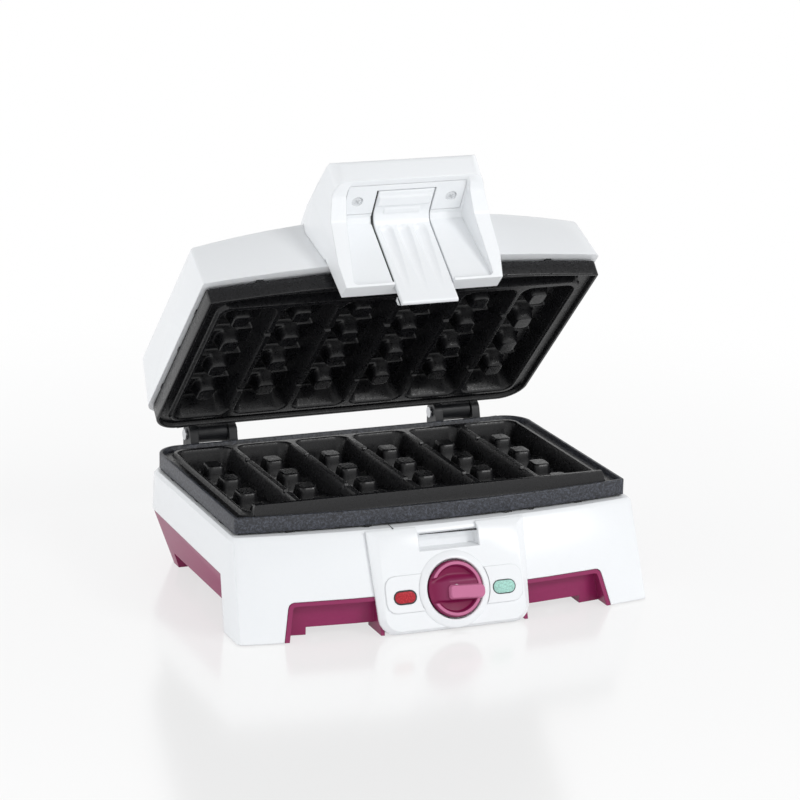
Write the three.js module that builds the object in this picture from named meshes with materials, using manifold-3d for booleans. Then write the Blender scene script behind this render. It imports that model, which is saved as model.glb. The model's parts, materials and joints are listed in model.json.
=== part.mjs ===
// A countertop waffle stick maker with its lid standing open, in millimetres, +Z up.
// The working frame has +X to the right, +Y to the back, and its origin on the tabletop
// under the middle of the lower cooking plate. The last lines move the whole model so that
// the origin lies under the middle of its bounding box.
// Lid pieces are drawn closed and then turned open about the hinge axis.
import * as THREE from "three";
import { mergeVertices } from "three/addons/utils/BufferGeometryUtils.js";
import Module from "manifold-3d";

const wasm = await Module();
wasm.setup();

// Clearances
const seatGap = 0.3; // between two pieces that rest on each other
const runningGap = 0.6; // between two pieces that move past each other
const overrun = 6; // how far a cutting shape runs past what it cuts

// Hinge of the lid
const hingeReach = 14.7; // of the hinge axis, behind the plates
const hingeRise = 2.6; // of the hinge axis, above the lower rim
const lidOpening = 44; // degrees between the closed lid and the lid as modelled
const hingeFromSide = 65; // from each side of the plates to the inner side of its hinge
const hingeWidth = 35;
const earWidth = 6;
const knuckleRadius = 7;
const pinRadius = 2.5;
const pinHeadRadius = 4;
const pinHeadThickness = 1.5;
const bracketThickness = 5;
const bracketHeight = 22;
const armThickness = 5;
const armHeight = 20;

// Cooking plates, in plan
const plateLength = 282;
const plateFront = 96.5; // to the middle of the bowed front edge
const plateBack = 87.8;
const plateBowRadius = 930;
const plateFrontRadius = 2.5;
const plateBackRadius = 19;

// Cooking plates, in height
const partingHeight = 78.1; // top of the rim of the lower plate
const partingGap = 0.5; // between the two rims when the lid is closed
const rimHeight = 10.8;
const rimWidth = 2.5;
const channelWidth = 4;
const channelDepth = 3;
const plateLugHeight = 1.3; // the gap between the lower rim and the deck, which the lugs bridge
const lidLugHeight = 2.1; // the same gap between the upper rim and the lid
const plateLugLength = 5;
const plateLugWidth = 3;

// Stick cavities
const cavityPitch = 43.5;
const cavityEndMargin = 10; // of plate outside the end cavities, at the least
const crestWidth = 3.5; // the flat top of the wall between two cavities
const cavityFront = 73;
const cavityBack = 74.5;
const cavityDepth = 17;
const cavityDraft = 15; // degrees
const cavityRadius = 8;
const castWall = 3;
const notchWidth = 4;
const notchDepth = 1.6;
const notchSpread = 38; // of the two notches in each crest, from the middle of the cavity

// Pegs that press the dents into a stick
const pegCount = 4;
const pegPitch = 33.2;
const pegHeight = 12.5;
const pegBaseWidth = 16;
const pegBaseLength = 17;
const pegTipWidth = 12.5;
const pegTipLength = 13.5;
const pegChamfer = 1.5;
const saddleHeight = 4; // the low cross rib that each peg stands on
const saddleBaseLength = 22;
const saddleTopLength = 19;

// Front dam of the lower plate, and the groove for it in the upper plate
const damHeight = 6.2;
const damEndGap = 14; // from each end of the dam to the side of the plate
const damEndSlope = 2;
const damSetBack = 5; // behind the cavities' front edges, seen from the dam's back face
const damTopWidth = 4;
const damFootWidth = 6.5;
const damClearance = 0.9;

// Base housing
const housingMargin = 4; // beyond the plates on each side, at the deck
const housingFrontMargin = 8.2; // beyond the plates' front edge, in the middle of the deck
const housingBackMargin = 1.2;
const housingFrontRadius = 5;
const housingBackRadius = 21;
const casingBowRadius = 775;
const frontLean = 20; // degrees, outwards going down
const sideFlare = 3; // over the whole height
const shellWall = 2.5;
const deckEdge = 2.2;
const footGap = 0.8; // from the casing's lowest edges to the tabletop
const openingClearance = 2; // round the pan of the plate, in the deck and in the lid
const openingRadius = 10;
const bossRadius = 4;
const frontBossFromSide = 55;
const frontBossFromFront = 12.7;
const backBossFromSide = 81;
const backBossFromBack = 7;

// Cut-outs of the base housing
const windowUnderPanel = 6.5; // how far each front cut-out runs on behind the control panel
const windowFromSide = 32.8; // from the side of the housing to the top corner of the cut-out
const windowFlare = 5.8; // from there out to its foot
const windowHeight = 25.2;
const windowRadius = 4.5;
const sideCutFromFront = 18.7; // from the deck's front edge back to the side cut-out, at the tabletop
const sideCutSlope = 12.5; // further back at its top
const sideCutHeight = 37;
const sideCutBackHeight = 39;
const panelBackingFoot = 3;

// Chassis
const chassisSideLean = 18; // degrees, inwards going down
const chassisFrontMargin = 9.8; // beyond the deck's front edge
const chassisBackInset = 8; // of its foot, from the back of the housing
const chassisWall = 2.5;
const trayBottom = 11.5;
const trayFloor = 2.5;
const skirtFoot = 6.1; // lower edge of the front wall between the feet
const chassisTop = 46;
const beadWidth = 2.5;
const frontFootFromSide = 28; // from the side of the housing
const frontFootWidth = 18;
const frontFootLength = 20;
const backFootFromSide = 25;
const backFootFromBack = 16;
const backFootLength = 23;

// Foot pads
const padRadius = 4.5;
const padInset = 1.6;

// Control panel
const panelProud = 3.5;
const panelTopHalfWidth = 56.5;
const panelFootHalfWidth = 53.5;
const panelFaceTopHalfWidth = 49.5;
const panelFaceFootHalfWidth = 50.5;
const panelFootGap = 1.2;
const panelFootRadius = 12;
const panelTopBevel = 5;
const knobDrop = 43.35; // down the sloped front from the deck edge to the knob's axis
const knobRadius = 18.9;
const bezelInnerRadius = 19.6;
const bezelOuterRadius = 25.6;
const bezelProud = 1.6;
const lampSpread = 35.5;
const lampDrop = 45.5;
const lampLength = 16;
const lampHeight = 9;
const bandHalfWidth = 48.8; // the raised band round the lamps and the knob
const bandHalfHeight = 12.3;
const bandRadius = 7;
const bandProud = 0.9;
const lensProud = 0.6;
const lampBodyRadius = 3.6;
const lampBodyLength = 12;

// Knob
const knobSkirt = 6;
const knobEdge = 1;
const knobRingWidth = 2.6; // the raised ring round the two dished faces
const knobDish = 1.6;
const gripWidth = 16.5; // of the bar between the dished faces, at its left end
const gripNarrowWidth = 13; // at its right end
const gripTaper = 1.6; // narrower on top, on each side
const gripHeight = 4.5;
const gripReach = 16;
const pointerWidth = 9.6;
const pointerReach = 18;

// Thermostat
const shaftRadius = 3;
const thermostatRadius = 9;
const thermostatDepth = 12;
const thermostatRise = 4; // of its drum, above the knob's axis
const thermostatPlateWidth = 36;
const thermostatPlateHeight = 22;
const thermostatPlateThickness = 2;

// Catch for the release lever
const catchGap = 0.8; // beside the lever
const catchSillDrop = 14.4; // below the deck
const catchLedgeDrop = 4.4;
const catchDepth = 5.5;

// Lid shell, drawn closed
const lidMargin = 2.4; // beyond the plates on each side, at the seam
const lidFrontMargin = 6.9;
const lidBackInset = 1.8;
const lidHeight = 35.6; // at the lid's sides
const lidCrown = 10; // how much higher the top is in the middle
const lidFrontLean = 20; // degrees, backwards going up
const lidSideLean = 3.2;
const lidBackLean = 11;
const lidEdgeRadius = 2.5;
const lidBackRadius = 14;
const lidFlange = 2;

// Handle, drawn closed: distances ahead of the plates' front edge, heights from the lower rim
const handleFoot = -10.9;
const handleFootBack = 4.3;
const handleFootFront = 16.5;
const cheekFront = 23;
const cheekTop = 35.9;
const browFront = 41;
const browFoot = 55.4;
const browTop = 76;
const browTopFront = 30.5;
const browTopBack = 3.5;
const browBackHeight = 72.3;
const browReachBack = 40.5; // onto the lid, behind the plates' front edge
const browRadius = 5;
const handleFootHalfWidth = 56;
const handleRootHalfWidth = 63.5;
const handleRootHeight = 47.9;
const handleTopHalfWidth = 57;
const handleTopRadius = 18;
const handleFrontHalfWidth = 52;
const handleFrontRadius = 9;

// Finger pocket of the handle
const pocketFootHalfWidth = 50;
const pocketTopHalfWidth = 44;
const pocketFootRise = 2.1; // the thickness of the handle under the pocket
const pocketFootBack = 14;
const pocketBendBack = 6;
const pocketBendHeight = 43.4;
const pocketRoofBack = 8.5;
const pocketRoofHeight = 46.9;
const pocketRoofFront = 35.5;
const pocketRoofFrontHeight = 55.1;
const pocketRadius = 5;

// Lever cover, the plate under the brow
const coverThickness = 2.4;
const coverInset = 3; // from the back and side edges of the pocket's roof
const coverFrontInset = 0.6;
const coverScrewSpread = 33.9;
const screwHeadRadius = 3.6;
const screwHeadThickness = 1.4;
const screwShankRadius = 1.5;
const screwShankLength = 8;

// Release lever
const leverHalfWidth = 20.8;
const leverThickness = 3;
const leverTipHeight = -24.8;
const leverTipFront = 16.1;
const hookDepth = 3.4;
const hookHeight = 7.2;
const leverPivotAhead = 1.9;
const leverPivotHeight = 41.4;
const leverEarRadius = 4;
const leverEarWidth = 4;
const leverTravel = 5; // degrees
const slotSteps = 3; // of the lever's swing, in the slot cut for it
const leverPinRadius = 1.6;
const fluteCount = 3;
const flutePitch = 11.6;
const fluteRadius = 6.2;
const fluteDepth = 1.8;
const fluteTopShare = 0.066; // of the long arm, from its bend
const fluteFootShare = 0.858;
const ribCount = 2;
const ribPitch = 8;
const ribHeight = 0.9;
const ribWidth = 3.4;
const ribHalfLength = 15;
const springRadius = 2.4;
const springWire = 0.7;
const springTurns = 4;

// Heating elements and reflectors
const elementRadius = 3.2;
const elementHalfLength = 96;
const elementSpread = 36; // of the two long runs, from the middle
const elementTail = 14;
const reflectorHalfLength = 118;
const reflectorHalfWidth = 62;
const reflectorDrop = 9; // from the plate's underside to the reflector
const reflectorWall = 0.9;
const reflectorLip = 5;
const reflectorRadius = 12;
const reflectorPostRadius = 3.5;

// Cord inlet, terminal block and base screws
const inletX = 40;
const inletHeight = 27;
const inletRadius = 6.5;
const inletBore = 4.2;
const inletFlangeRadius = 9;
const inletFlange = 2;
const inletLength = 7;
const terminalLength = 34;
const terminalWidth = 16;
const terminalHeight = 12;
const terminalStep = 5;
const baseScrewHeadRadius = 3.4;
const baseScrewHeadThickness = 1.8;
const baseScrewRadius = 1.6;
const baseScrewLength = 12;

// Places that follow from the sizes above
const tanDeg = (degrees) => Math.tan(THREE.MathUtils.degToRad(degrees));
const plateHalf = plateLength / 2;
const hingeBack = plateBack + hingeReach;
const hingeHeight = partingHeight + hingeRise;
const hingeInner = plateHalf - hingeFromSide;
const deckHeight = partingHeight - rimHeight - plateLugHeight;
const seamHeight = partingHeight + partingGap + rimHeight + lidLugHeight;
const cavityCount = Math.floor((plateLength - 2 * cavityEndMargin) / cavityPitch);
const cavitySpan = cavityCount * cavityPitch;
const panLean = tanDeg(cavityDraft) * (rimHeight + plateLugHeight);
const panMargin = castWall - panLean + openingClearance;
const openingHalfLength = (cavitySpan - crestWidth) / 2 + panMargin;
const openingFront = cavityFront + panMargin;
const openingBack = cavityBack + panMargin;
const damHalfLength = plateHalf - damEndGap;
const damBack = cavityFront + damSetBack;
const housingHalfLength = plateHalf + housingMargin;
const housingFront = plateFront + housingFrontMargin;
const housingBack = plateBack + housingBackMargin;
const windowInner = panelTopHalfWidth - windowUnderPanel;
const windowOuterTop = housingHalfLength - windowFromSide;
const windowOuterFoot = windowOuterTop + windowFlare;
const sideCutFoot = housingFront - sideCutFromFront;
const sideCutFront = sideCutFoot - sideCutSlope;
const chassisFront = housingFront + chassisFrontMargin;
const frontFootOuter = housingHalfLength - frontFootFromSide;
const frontFootInner = frontFootOuter - frontFootWidth;
const backFootInner = housingHalfLength - backFootFromSide;
const backFootBack = housingBack - backFootFromBack;
const backFootFront = backFootBack - backFootLength;
const catchSill = deckHeight - catchSillDrop;
const catchLedge = deckHeight - catchLedgeDrop;
const catchHalfWidth = leverHalfWidth + catchGap;
const lidHalfLength = plateHalf + lidMargin;
const lidFront = plateFront + lidFrontMargin;
const lidBack = plateBack - lidBackInset;
const lidSideHeight = seamHeight + lidHeight;
const ahead = (distance) => -plateFront - distance;
const above = (height) => partingHeight + height;
const pocketFoot = handleFoot + pocketFootRise;

const V2 = (x, y) => new THREE.Vector2(x, y);
const V3 = (x, y, z) => new THREE.Vector3(x, y, z);

// A three.js geometry as a solid that can be cut and joined.
function solid(geometry) {
  const bare = geometry.clone();
  bare.deleteAttribute("normal");
  bare.deleteAttribute("uv");
  const merged = mergeVertices(bare);
  return new wasm.Manifold(
    new wasm.Mesh({
      numProp: 3,
      vertProperties: new Float32Array(merged.attributes.position.array),
      triVerts: new Uint32Array(merged.index.array),
    }),
  );
}

const join = (first, ...others) => others.reduce((sum, other) => sum.add(other), first);
const cut = (first, ...others) => others.reduce((rest, other) => rest.subtract(other), first);
const common = (first, ...others) => others.reduce((part, other) => part.intersect(other), first);

// A solid as a three.js geometry with flat faces.
function geometryOf(body) {
  const mesh = body.getMesh();
  const positions = [];
  for (let i = 0; i < mesh.numVert; i++) {
    const at = i * mesh.numProp;
    positions.push(mesh.vertProperties[at], mesh.vertProperties[at + 1], mesh.vertProperties[at + 2]);
  }
  const indexed = new THREE.BufferGeometry();
  indexed.setAttribute("position", new THREE.Float32BufferAttribute(positions, 3));
  indexed.setIndex(Array.from(mesh.triVerts));
  const flat = indexed.toNonIndexed();
  flat.computeVertexNormals();
  return flat;
}

// The surface through a row of rings with as many points each, closed by a face at each end.
// The rings run counterclockwise seen from the last one; flatten maps an end ring to a plane.
function loft(rings, flatten) {
  const positions = [];
  const face = (...corners) => corners.forEach((p) => positions.push(p.x, p.y, p.z));
  for (let i = 0; i + 1 < rings.length; i++) {
    const low = rings[i];
    const high = rings[i + 1];
    for (let j = 0; j < low.length; j++) {
      const next = (j + 1) % low.length;
      face(low[j], low[next], high[next]);
      face(low[j], high[next], high[j]);
    }
  }
  const first = rings[0];
  const last = rings[rings.length - 1];
  THREE.ShapeUtils.triangulateShape(first.map(flatten), []).forEach(([a, b, c]) => {
    face(first[c], first[b], first[a]);
  });
  THREE.ShapeUtils.triangulateShape(last.map(flatten), []).forEach(([a, b, c]) => {
    face(last[a], last[b], last[c]);
  });
  const geometry = new THREE.BufferGeometry();
  geometry.setAttribute("position", new THREE.Float32BufferAttribute(positions, 3));
  return solid(geometry);
}

const fromAbove = (p) => V2(p.x, p.y);
const fromRight = (p) => V2(p.y, p.z);
const atHeight = (outline, z) => outline.map((p) => V3(p.x, p.y, z));

// Prisms: an outline drawn in (x, y), in (y, z) or in (x, z), swept along the third axis.
function extrude(outline, depth) {
  return new THREE.ExtrudeGeometry(new THREE.Shape(outline), { depth, bevelEnabled: false });
}

function prismZ(outline, from, to) {
  return solid(extrude(outline, to - from).translate(0, 0, from));
}

function prismX(outline, from, to) {
  const turn = new THREE.Matrix4().makeBasis(V3(0, 1, 0), V3(0, 0, 1), V3(1, 0, 0));
  return solid(extrude(outline, to - from).applyMatrix4(turn).translate(from, 0, 0));
}

function prismY(outline, from, to) {
  const turn = new THREE.Matrix4().makeBasis(V3(1, 0, 0), V3(0, 0, 1), V3(0, -1, 0));
  return solid(extrude(outline, to - from).applyMatrix4(turn).translate(0, to, 0));
}

function block(fromX, toX, fromY, toY, fromZ, toZ) {
  const box = new THREE.BoxGeometry(toX - fromX, toY - fromY, toZ - fromZ);
  return solid(box.translate((fromX + toX) / 2, (fromY + toY) / 2, (fromZ + toZ) / 2));
}

function cylinderX(radius, from, to, y, z, sides = 16) {
  const rod = new THREE.CylinderGeometry(radius, radius, to - from, sides);
  return solid(rod.rotateZ(-Math.PI / 2).translate((from + to) / 2, y, z));
}

function cylinderZ(radius, from, to, x, y, sides = 16) {
  const rod = new THREE.CylinderGeometry(radius, radius, to - from, sides);
  return solid(rod.rotateX(Math.PI / 2).translate(x, y, (from + to) / 2));
}

// A polygon whose corners are rounded: corners are [x, y, radius].
function rounded(corners, steps = 3) {
  const outline = [];
  corners.forEach(([x, y, radius], i) => {
    const corner = V2(x, y);
    const [beforeX, beforeY] = corners[(i + corners.length - 1) % corners.length];
    const [afterX, afterY] = corners[(i + 1) % corners.length];
    if (!radius) {
      outline.push(corner);
      return;
    }
    const back = V2(beforeX, beforeY).sub(corner).normalize();
    const ahead = V2(afterX, afterY).sub(corner).normalize();
    const half = Math.acos(THREE.MathUtils.clamp(back.dot(ahead), -1, 1)) / 2;
    const middle = back.clone().add(ahead).normalize();
    const centre = corner.clone().addScaledVector(middle, radius / Math.sin(half));
    const start = corner.clone().addScaledVector(back, radius / Math.tan(half)).sub(centre);
    const turn = Math.PI - 2 * half;
    const side = Math.sign(back.x * ahead.y - back.y * ahead.x);
    for (let k = 0; k <= steps; k++) {
      outline.push(start.clone().rotateAround(V2(0, 0), (-side * turn * k) / steps).add(centre));
    }
  });
  return outline;
}

// A plan outline with a bowed front edge and rounded corners, counterclockwise from the front left.
function bowedOutline({ half, front, back, bowRadius, frontRadius, backRadius, bowSteps = 8, backSteps = 4 }) {
  const frontAt = (x) => -front + (x * x) / (2 * bowRadius);
  const reach = half - frontRadius;
  const outline = [];
  for (let i = 0; i <= bowSteps; i++) {
    const x = reach * ((2 * i) / bowSteps - 1);
    outline.push(V2(x, frontAt(x)));
  }
  const arc = (x, y, radius, from, steps) => {
    for (let k = 0; k <= steps; k++) {
      const angle = from + (Math.PI / 2) * (k / steps);
      outline.push(V2(x + radius * Math.cos(angle), y + radius * Math.sin(angle)));
    }
  };
  const frontCentre = frontAt(reach) + frontRadius;
  arc(reach, frontCentre, frontRadius, -Math.PI / 2, 2);
  arc(half - backRadius, back - backRadius, backRadius, 0, backSteps);
  arc(backRadius - half, back - backRadius, backRadius, Math.PI / 2, backSteps);
  arc(-reach, frontCentre, frontRadius, Math.PI, 2);
  outline.splice(bowSteps + 1, 1);
  outline.pop();
  return outline;
}

// A tube of even thickness along a curve.
function tube(curve, radius, steps, sides) {
  const section = new THREE.Shape();
  for (let i = 0; i < sides; i++) {
    const angle = (2 * Math.PI * i) / sides;
    const place = [radius * Math.cos(angle), radius * Math.sin(angle)];
    if (i) section.lineTo(...place);
    else section.moveTo(...place);
  }
  return solid(new THREE.ExtrudeGeometry(section, { steps, extrudePath: curve, bevelEnabled: false }));
}

// A turned piece about +Z: the profile is [radius, height] from the axis and back to it.
function turned(profile, sides = 32) {
  const points = profile.map(([radius, height]) => V2(radius, height));
  return solid(new THREE.LatheGeometry(points, sides).rotateX(Math.PI / 2));
}

const place = (body, matrix) => body.transform(matrix.elements);
const shifted = (body, x, y, z) => place(body, new THREE.Matrix4().makeTranslation(x, y, z));

// The sloped front of the base: local x runs right, local y up the slope, local z out of it,
// and the local origin is the middle of the deck's front edge.
const frontFrame = new THREE.Matrix4()
  .makeTranslation(0, -housingFront, deckHeight)
  .multiply(new THREE.Matrix4().makeRotationX(THREE.MathUtils.degToRad(90 - frontLean)));
const onFront = (body) => place(body, frontFrame);

// Cooking plates, drawn with the rim at z 0 and the body below.
function plateOutline(inset) {
  return bowedOutline({
    half: plateHalf - inset,
    front: plateFront - inset,
    back: plateBack - inset,
    bowRadius: plateBowRadius,
    frontRadius: Math.max(plateFrontRadius - inset, rimWidth / 2),
    backRadius: plateBackRadius - inset,
  });
}

function stickCavity(grow, depth) {
  const lean = tanDeg(cavityDraft) * depth;
  const half = (cavityPitch - crestWidth) / 2 + grow;
  const ring = (inset) => {
    const corners = [
      [-half + inset, -cavityFront - grow + inset],
      [half - inset, -cavityFront - grow + inset],
      [half - inset, cavityBack + grow - inset],
      [-half + inset, cavityBack + grow - inset],
    ];
    return rounded(corners.map(([x, y]) => [x, y, cavityRadius + grow - inset]), 2);
  };
  return loft([atHeight(ring(lean), -depth), atHeight(ring(0), 0)], fromAbove);
}

function rectangle(halfX, halfY, z) {
  return [V3(-halfX, -halfY, z), V3(halfX, -halfY, z), V3(halfX, halfY, z), V3(-halfX, halfY, z)];
}

function peg() {
  const floor = -cavityDepth;
  const shoulder = floor + pegHeight - pegChamfer;
  const rings = [
    rectangle(pegBaseWidth / 2, pegBaseLength / 2, floor - castWall / 2),
    rectangle(pegTipWidth / 2, pegTipLength / 2, shoulder),
    rectangle(pegTipWidth / 2 - pegChamfer, pegTipLength / 2 - pegChamfer, floor + pegHeight),
  ];
  return loft(rings, fromAbove);
}

function saddle() {
  const floor = -cavityDepth;
  const foot = floor - castWall / 2;
  const halfWidth = cavityPitch / 2 - crestWidth / 2 - tanDeg(cavityDraft) * (cavityDepth - saddleHeight);
  const profile = [
    V2(-saddleBaseLength / 2, foot),
    V2(saddleBaseLength / 2, foot),
    V2(saddleTopLength / 2, floor + saddleHeight),
    V2(-saddleTopLength / 2, floor + saddleHeight),
  ];
  return prismX(profile, -halfWidth - castWall / 2, halfWidth + castWall / 2);
}

function damSolid(grow) {
  const top = damHeight + grow;
  const profile = [
    V2(-damBack + grow, -channelDepth - grow),
    V2(-damBack + grow, top),
    V2(-damBack - damTopWidth - grow, top),
    V2(-damBack - damFootWidth - grow, -channelDepth - grow),
  ];
  const front = [
    V2(-damHalfLength - grow, -channelDepth - grow),
    V2(damHalfLength + grow, -channelDepth - grow),
    V2(damHalfLength - damEndSlope + grow, top),
    V2(-damHalfLength + damEndSlope - grow, top),
  ];
  const reach = damHalfLength + overrun;
  return common(prismX(profile, -reach, reach), prismY(front, -plateFront, 0));
}

const cavityCentres = Array.from({ length: cavityCount }, (_, i) => (i - (cavityCount - 1) / 2) * cavityPitch);
const cavityMiddle = (cavityBack - cavityFront) / 2;
const pegPlaces = Array.from({ length: pegCount }, (_, i) => cavityMiddle + (i - (pegCount - 1) / 2) * pegPitch);
const frontLugShares = [-0.74, -0.36, 0.36, 0.74];
const sideLugShares = [-0.62, -0.06, 0.52];

function plateLugs(height) {
  const lugs = [];
  const tall = height - seatGap;
  const half = plateHalf;
  const top = -rimHeight + rimWidth;
  const foot = -rimHeight - tall;
  frontLugShares.forEach((share) => {
    const x = share * half;
    const front = -plateFront + (x * x) / (2 * plateBowRadius) + seatGap;
    lugs.push(block(x - plateLugLength / 2, x + plateLugLength / 2, front, front + plateLugWidth, foot, top));
  });
  sideLugShares.forEach((share) => {
    const y = share * plateBack;
    [-1, 1].forEach((side) => {
      const outer = side * (half - seatGap);
      const inner = side * (half - seatGap - plateLugWidth);
      const low = Math.min(outer, inner);
      const high = Math.max(outer, inner);
      lugs.push(block(low, high, y - plateLugLength / 2, y + plateLugLength / 2, foot, top));
    });
  });
  return lugs;
}

function cookingPlate(hasDam) {
  const shells = cavityCentres.map((x) => shifted(stickCavity(castWall, cavityDepth + castWall), x, 0, 0));
  let plate = join(prismZ(plateOutline(0), -rimHeight, 0), ...shells);
  const hollowEdge = openingHalfLength - castWall;
  const underside = prismZ(plateOutline(rimWidth), -rimHeight - overrun, -channelDepth - castWall);
  const core = block(-hollowEdge, hollowEdge, -damBack - damFootWidth, cavityBack + castWall, -cavityDepth * 2, 0);
  plate = cut(plate, cut(underside, core));
  const rimInner = prismZ(plateOutline(rimWidth), -channelDepth, overrun);
  const landHalf = cavitySpan / 2;
  const land = block(
    -landHalf - rimWidth / 2,
    landHalf + rimWidth / 2,
    -damBack,
    cavityBack + channelWidth,
    -channelDepth * 2,
    -seatGap,
  );
  plate = cut(plate, cut(rimInner, land));
  if (hasDam) plate = join(plate, damSolid(0));
  else plate = cut(plate, damSolidTurned());
  plate = cut(plate, ...cavityCentres.map((x) => shifted(stickCavity(0, cavityDepth), x, 0, 0)));
  const crests = cavityCentres.slice(1).map((x) => x - cavityPitch / 2);
  const notches = crests.flatMap((x) =>
    [-1, 1].map((side) => {
      const y = cavityMiddle + side * notchSpread;
      return block(
        x - cavityPitch / 4,
        x + cavityPitch / 4,
        y - notchWidth / 2,
        y + notchWidth / 2,
        -notchDepth,
        overrun,
      );
    }),
  );
  plate = cut(plate, ...notches);
  const saddles = cavityCentres.flatMap((x) => pegPlaces.map((y) => shifted(saddle(), x, y, 0)));
  const pegs = cavityCentres.flatMap((x) => pegPlaces.map((y) => shifted(peg(), x, y, 0)));
  plate = join(plate, ...saddles, ...pegs, ...plateLugs(hasDam ? plateLugHeight : lidLugHeight));
  return join(plate, ...reflectorPosts());
}

// The groove that takes the dam when the lid is closed, in the upper plate's own upright frame.
function damSolidTurned() {
  const turn = new THREE.Matrix4().makeRotationY(Math.PI);
  return place(damSolid(damClearance), turn);
}

function reflectorPosts() {
  const top = -cavityDepth - castWall / 2;
  const foot = -cavityDepth - castWall - reflectorDrop + seatGap;
  return [-1, 1].map((side) => cylinderZ(reflectorPostRadius, foot, top, side * (cavitySpan - cavityPitch) / 2, cavityMiddle, 12));
}

// Heating element: a hairpin under the cavities, its two ends turned away from the plate.
function heatingElement() {
  const height = -cavityDepth - castWall - seatGap - elementRadius;
  const points = [];
  const bendSteps = 6;
  points.push(V3(elementHalfLength, cavityMiddle - elementSpread, height));
  points.push(V3(0, cavityMiddle - elementSpread, height));
  for (let k = 0; k <= bendSteps; k++) {
    const angle = -Math.PI / 2 - (Math.PI * k) / bendSteps;
    points.push(
      V3(
        elementSpread - elementHalfLength + elementSpread * Math.cos(angle),
        cavityMiddle + elementSpread * Math.sin(angle),
        height,
      ),
    );
  }
  points.push(V3(0, cavityMiddle + elementSpread, height));
  points.push(V3(elementHalfLength, cavityMiddle + elementSpread, height));
  const run = new THREE.CatmullRomCurve3(points, false, "centripetal");
  const tails = [-1, 1].map((side) =>
    cylinderX(
      elementRadius / 2,
      elementHalfLength - seatGap,
      elementHalfLength + elementTail,
      cavityMiddle + side * elementSpread,
      height,
      8,
    ),
  );
  return join(tube(run, elementRadius, 16, 6), ...tails);
}

// Reflector: a shallow sheet-metal tray that faces the element.
function reflectorTray() {
  const floor = -cavityDepth - castWall - reflectorDrop;
  const outline = (inset) => {
    const x = reflectorHalfLength - inset;
    const y = reflectorHalfWidth - inset;
    const radius = reflectorRadius - inset;
    return rounded([
      [-x, cavityMiddle - y, radius],
      [x, cavityMiddle - y, radius],
      [x, cavityMiddle + y, radius],
      [-x, cavityMiddle + y, radius],
    ]);
  };
  const outer = prismZ(outline(0), floor - reflectorWall, floor + reflectorLip);
  return cut(outer, prismZ(outline(reflectorWall), floor, floor + reflectorLip + overrun));
}

// Base housing envelope: the plan outline grows towards the tabletop.
function housingOutline(z, inset) {
  const fall = deckHeight - z;
  return bowedOutline({
    half: housingHalfLength + (sideFlare * fall) / deckHeight - inset,
    front: housingFront + tanDeg(frontLean) * fall - inset,
    back: housingBack - inset,
    bowRadius: casingBowRadius,
    frontRadius: Math.max(housingFrontRadius - inset, shellWall / 2),
    backRadius: housingBackRadius - inset,
  });
}

function housingSolid(inset, from, to, edge = 0) {
  const rings = [atHeight(housingOutline(from, inset), from)];
  if (edge) rings.push(atHeight(housingOutline(to - edge, inset), to - edge));
  rings.push(atHeight(housingOutline(to, inset + edge), to));
  return loft(rings, fromAbove);
}

// Front cut-outs, one on each side of the control panel, drawn in (x, z).
function frontWindow(side, shrink, radius = windowRadius) {
  const lean = (windowOuterFoot - windowOuterTop) / windowHeight;
  const top = windowHeight - shrink;
  const outerTop = windowOuterTop - shrink;
  const outerFoot = outerTop + lean * (top + overrun);
  const corners = [
    [windowInner + shrink, -overrun, 0],
    [outerFoot, -overrun, 0],
    [outerTop, top, radius],
    [windowInner + shrink, top, 0],
  ];
  const outline = rounded(corners).map((p) => V2(side * p.x, p.y));
  return prismY(outline, -housingFront * 2, -sideCutFoot);
}

// The side and rear cut-out runs right through, drawn in (y, z).
function sideCut(shrink) {
  const back = housingBack + overrun;
  const profile = [
    V2(-sideCutFoot + shrink, 0),
    V2(-sideCutFront + shrink, sideCutHeight - shrink),
    V2(back, sideCutBackHeight - shrink),
    V2(back, -overrun),
    V2(-sideCutFoot + shrink, -overrun),
  ];
  const reach = housingHalfLength + sideFlare + overrun;
  return prismX(profile, -reach, reach);
}

// The housing as a shell whose walls are thicker by grow on every face.
function housingShell(grow) {
  const outer = housingSolid(-grow, grow ? -overrun : footGap, deckHeight + grow, grow ? 0 : deckEdge);
  const inner = housingSolid(shellWall + grow, -overrun * 2, deckHeight - shellWall - grow);
  const openings = [frontWindow(-1, grow), frontWindow(1, grow), sideCut(grow)];
  return cut(outer, inner, ...openings);
}

function deckOpening(grow = 0) {
  return rounded([
    [-openingHalfLength - grow, -openingFront - grow, openingRadius],
    [openingHalfLength + grow, -openingFront - grow, openingRadius],
    [openingHalfLength + grow, openingBack + grow, openingRadius],
    [-openingHalfLength - grow, openingBack + grow, openingRadius],
  ]);
}

const bossPlaces = [-1, 1].flatMap((side) => [
  [side * (plateHalf - frontBossFromSide), -housingFront + frontBossFromFront],
  [side * (plateHalf - backBossFromSide), housingBack - backBossFromBack],
]);

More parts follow.
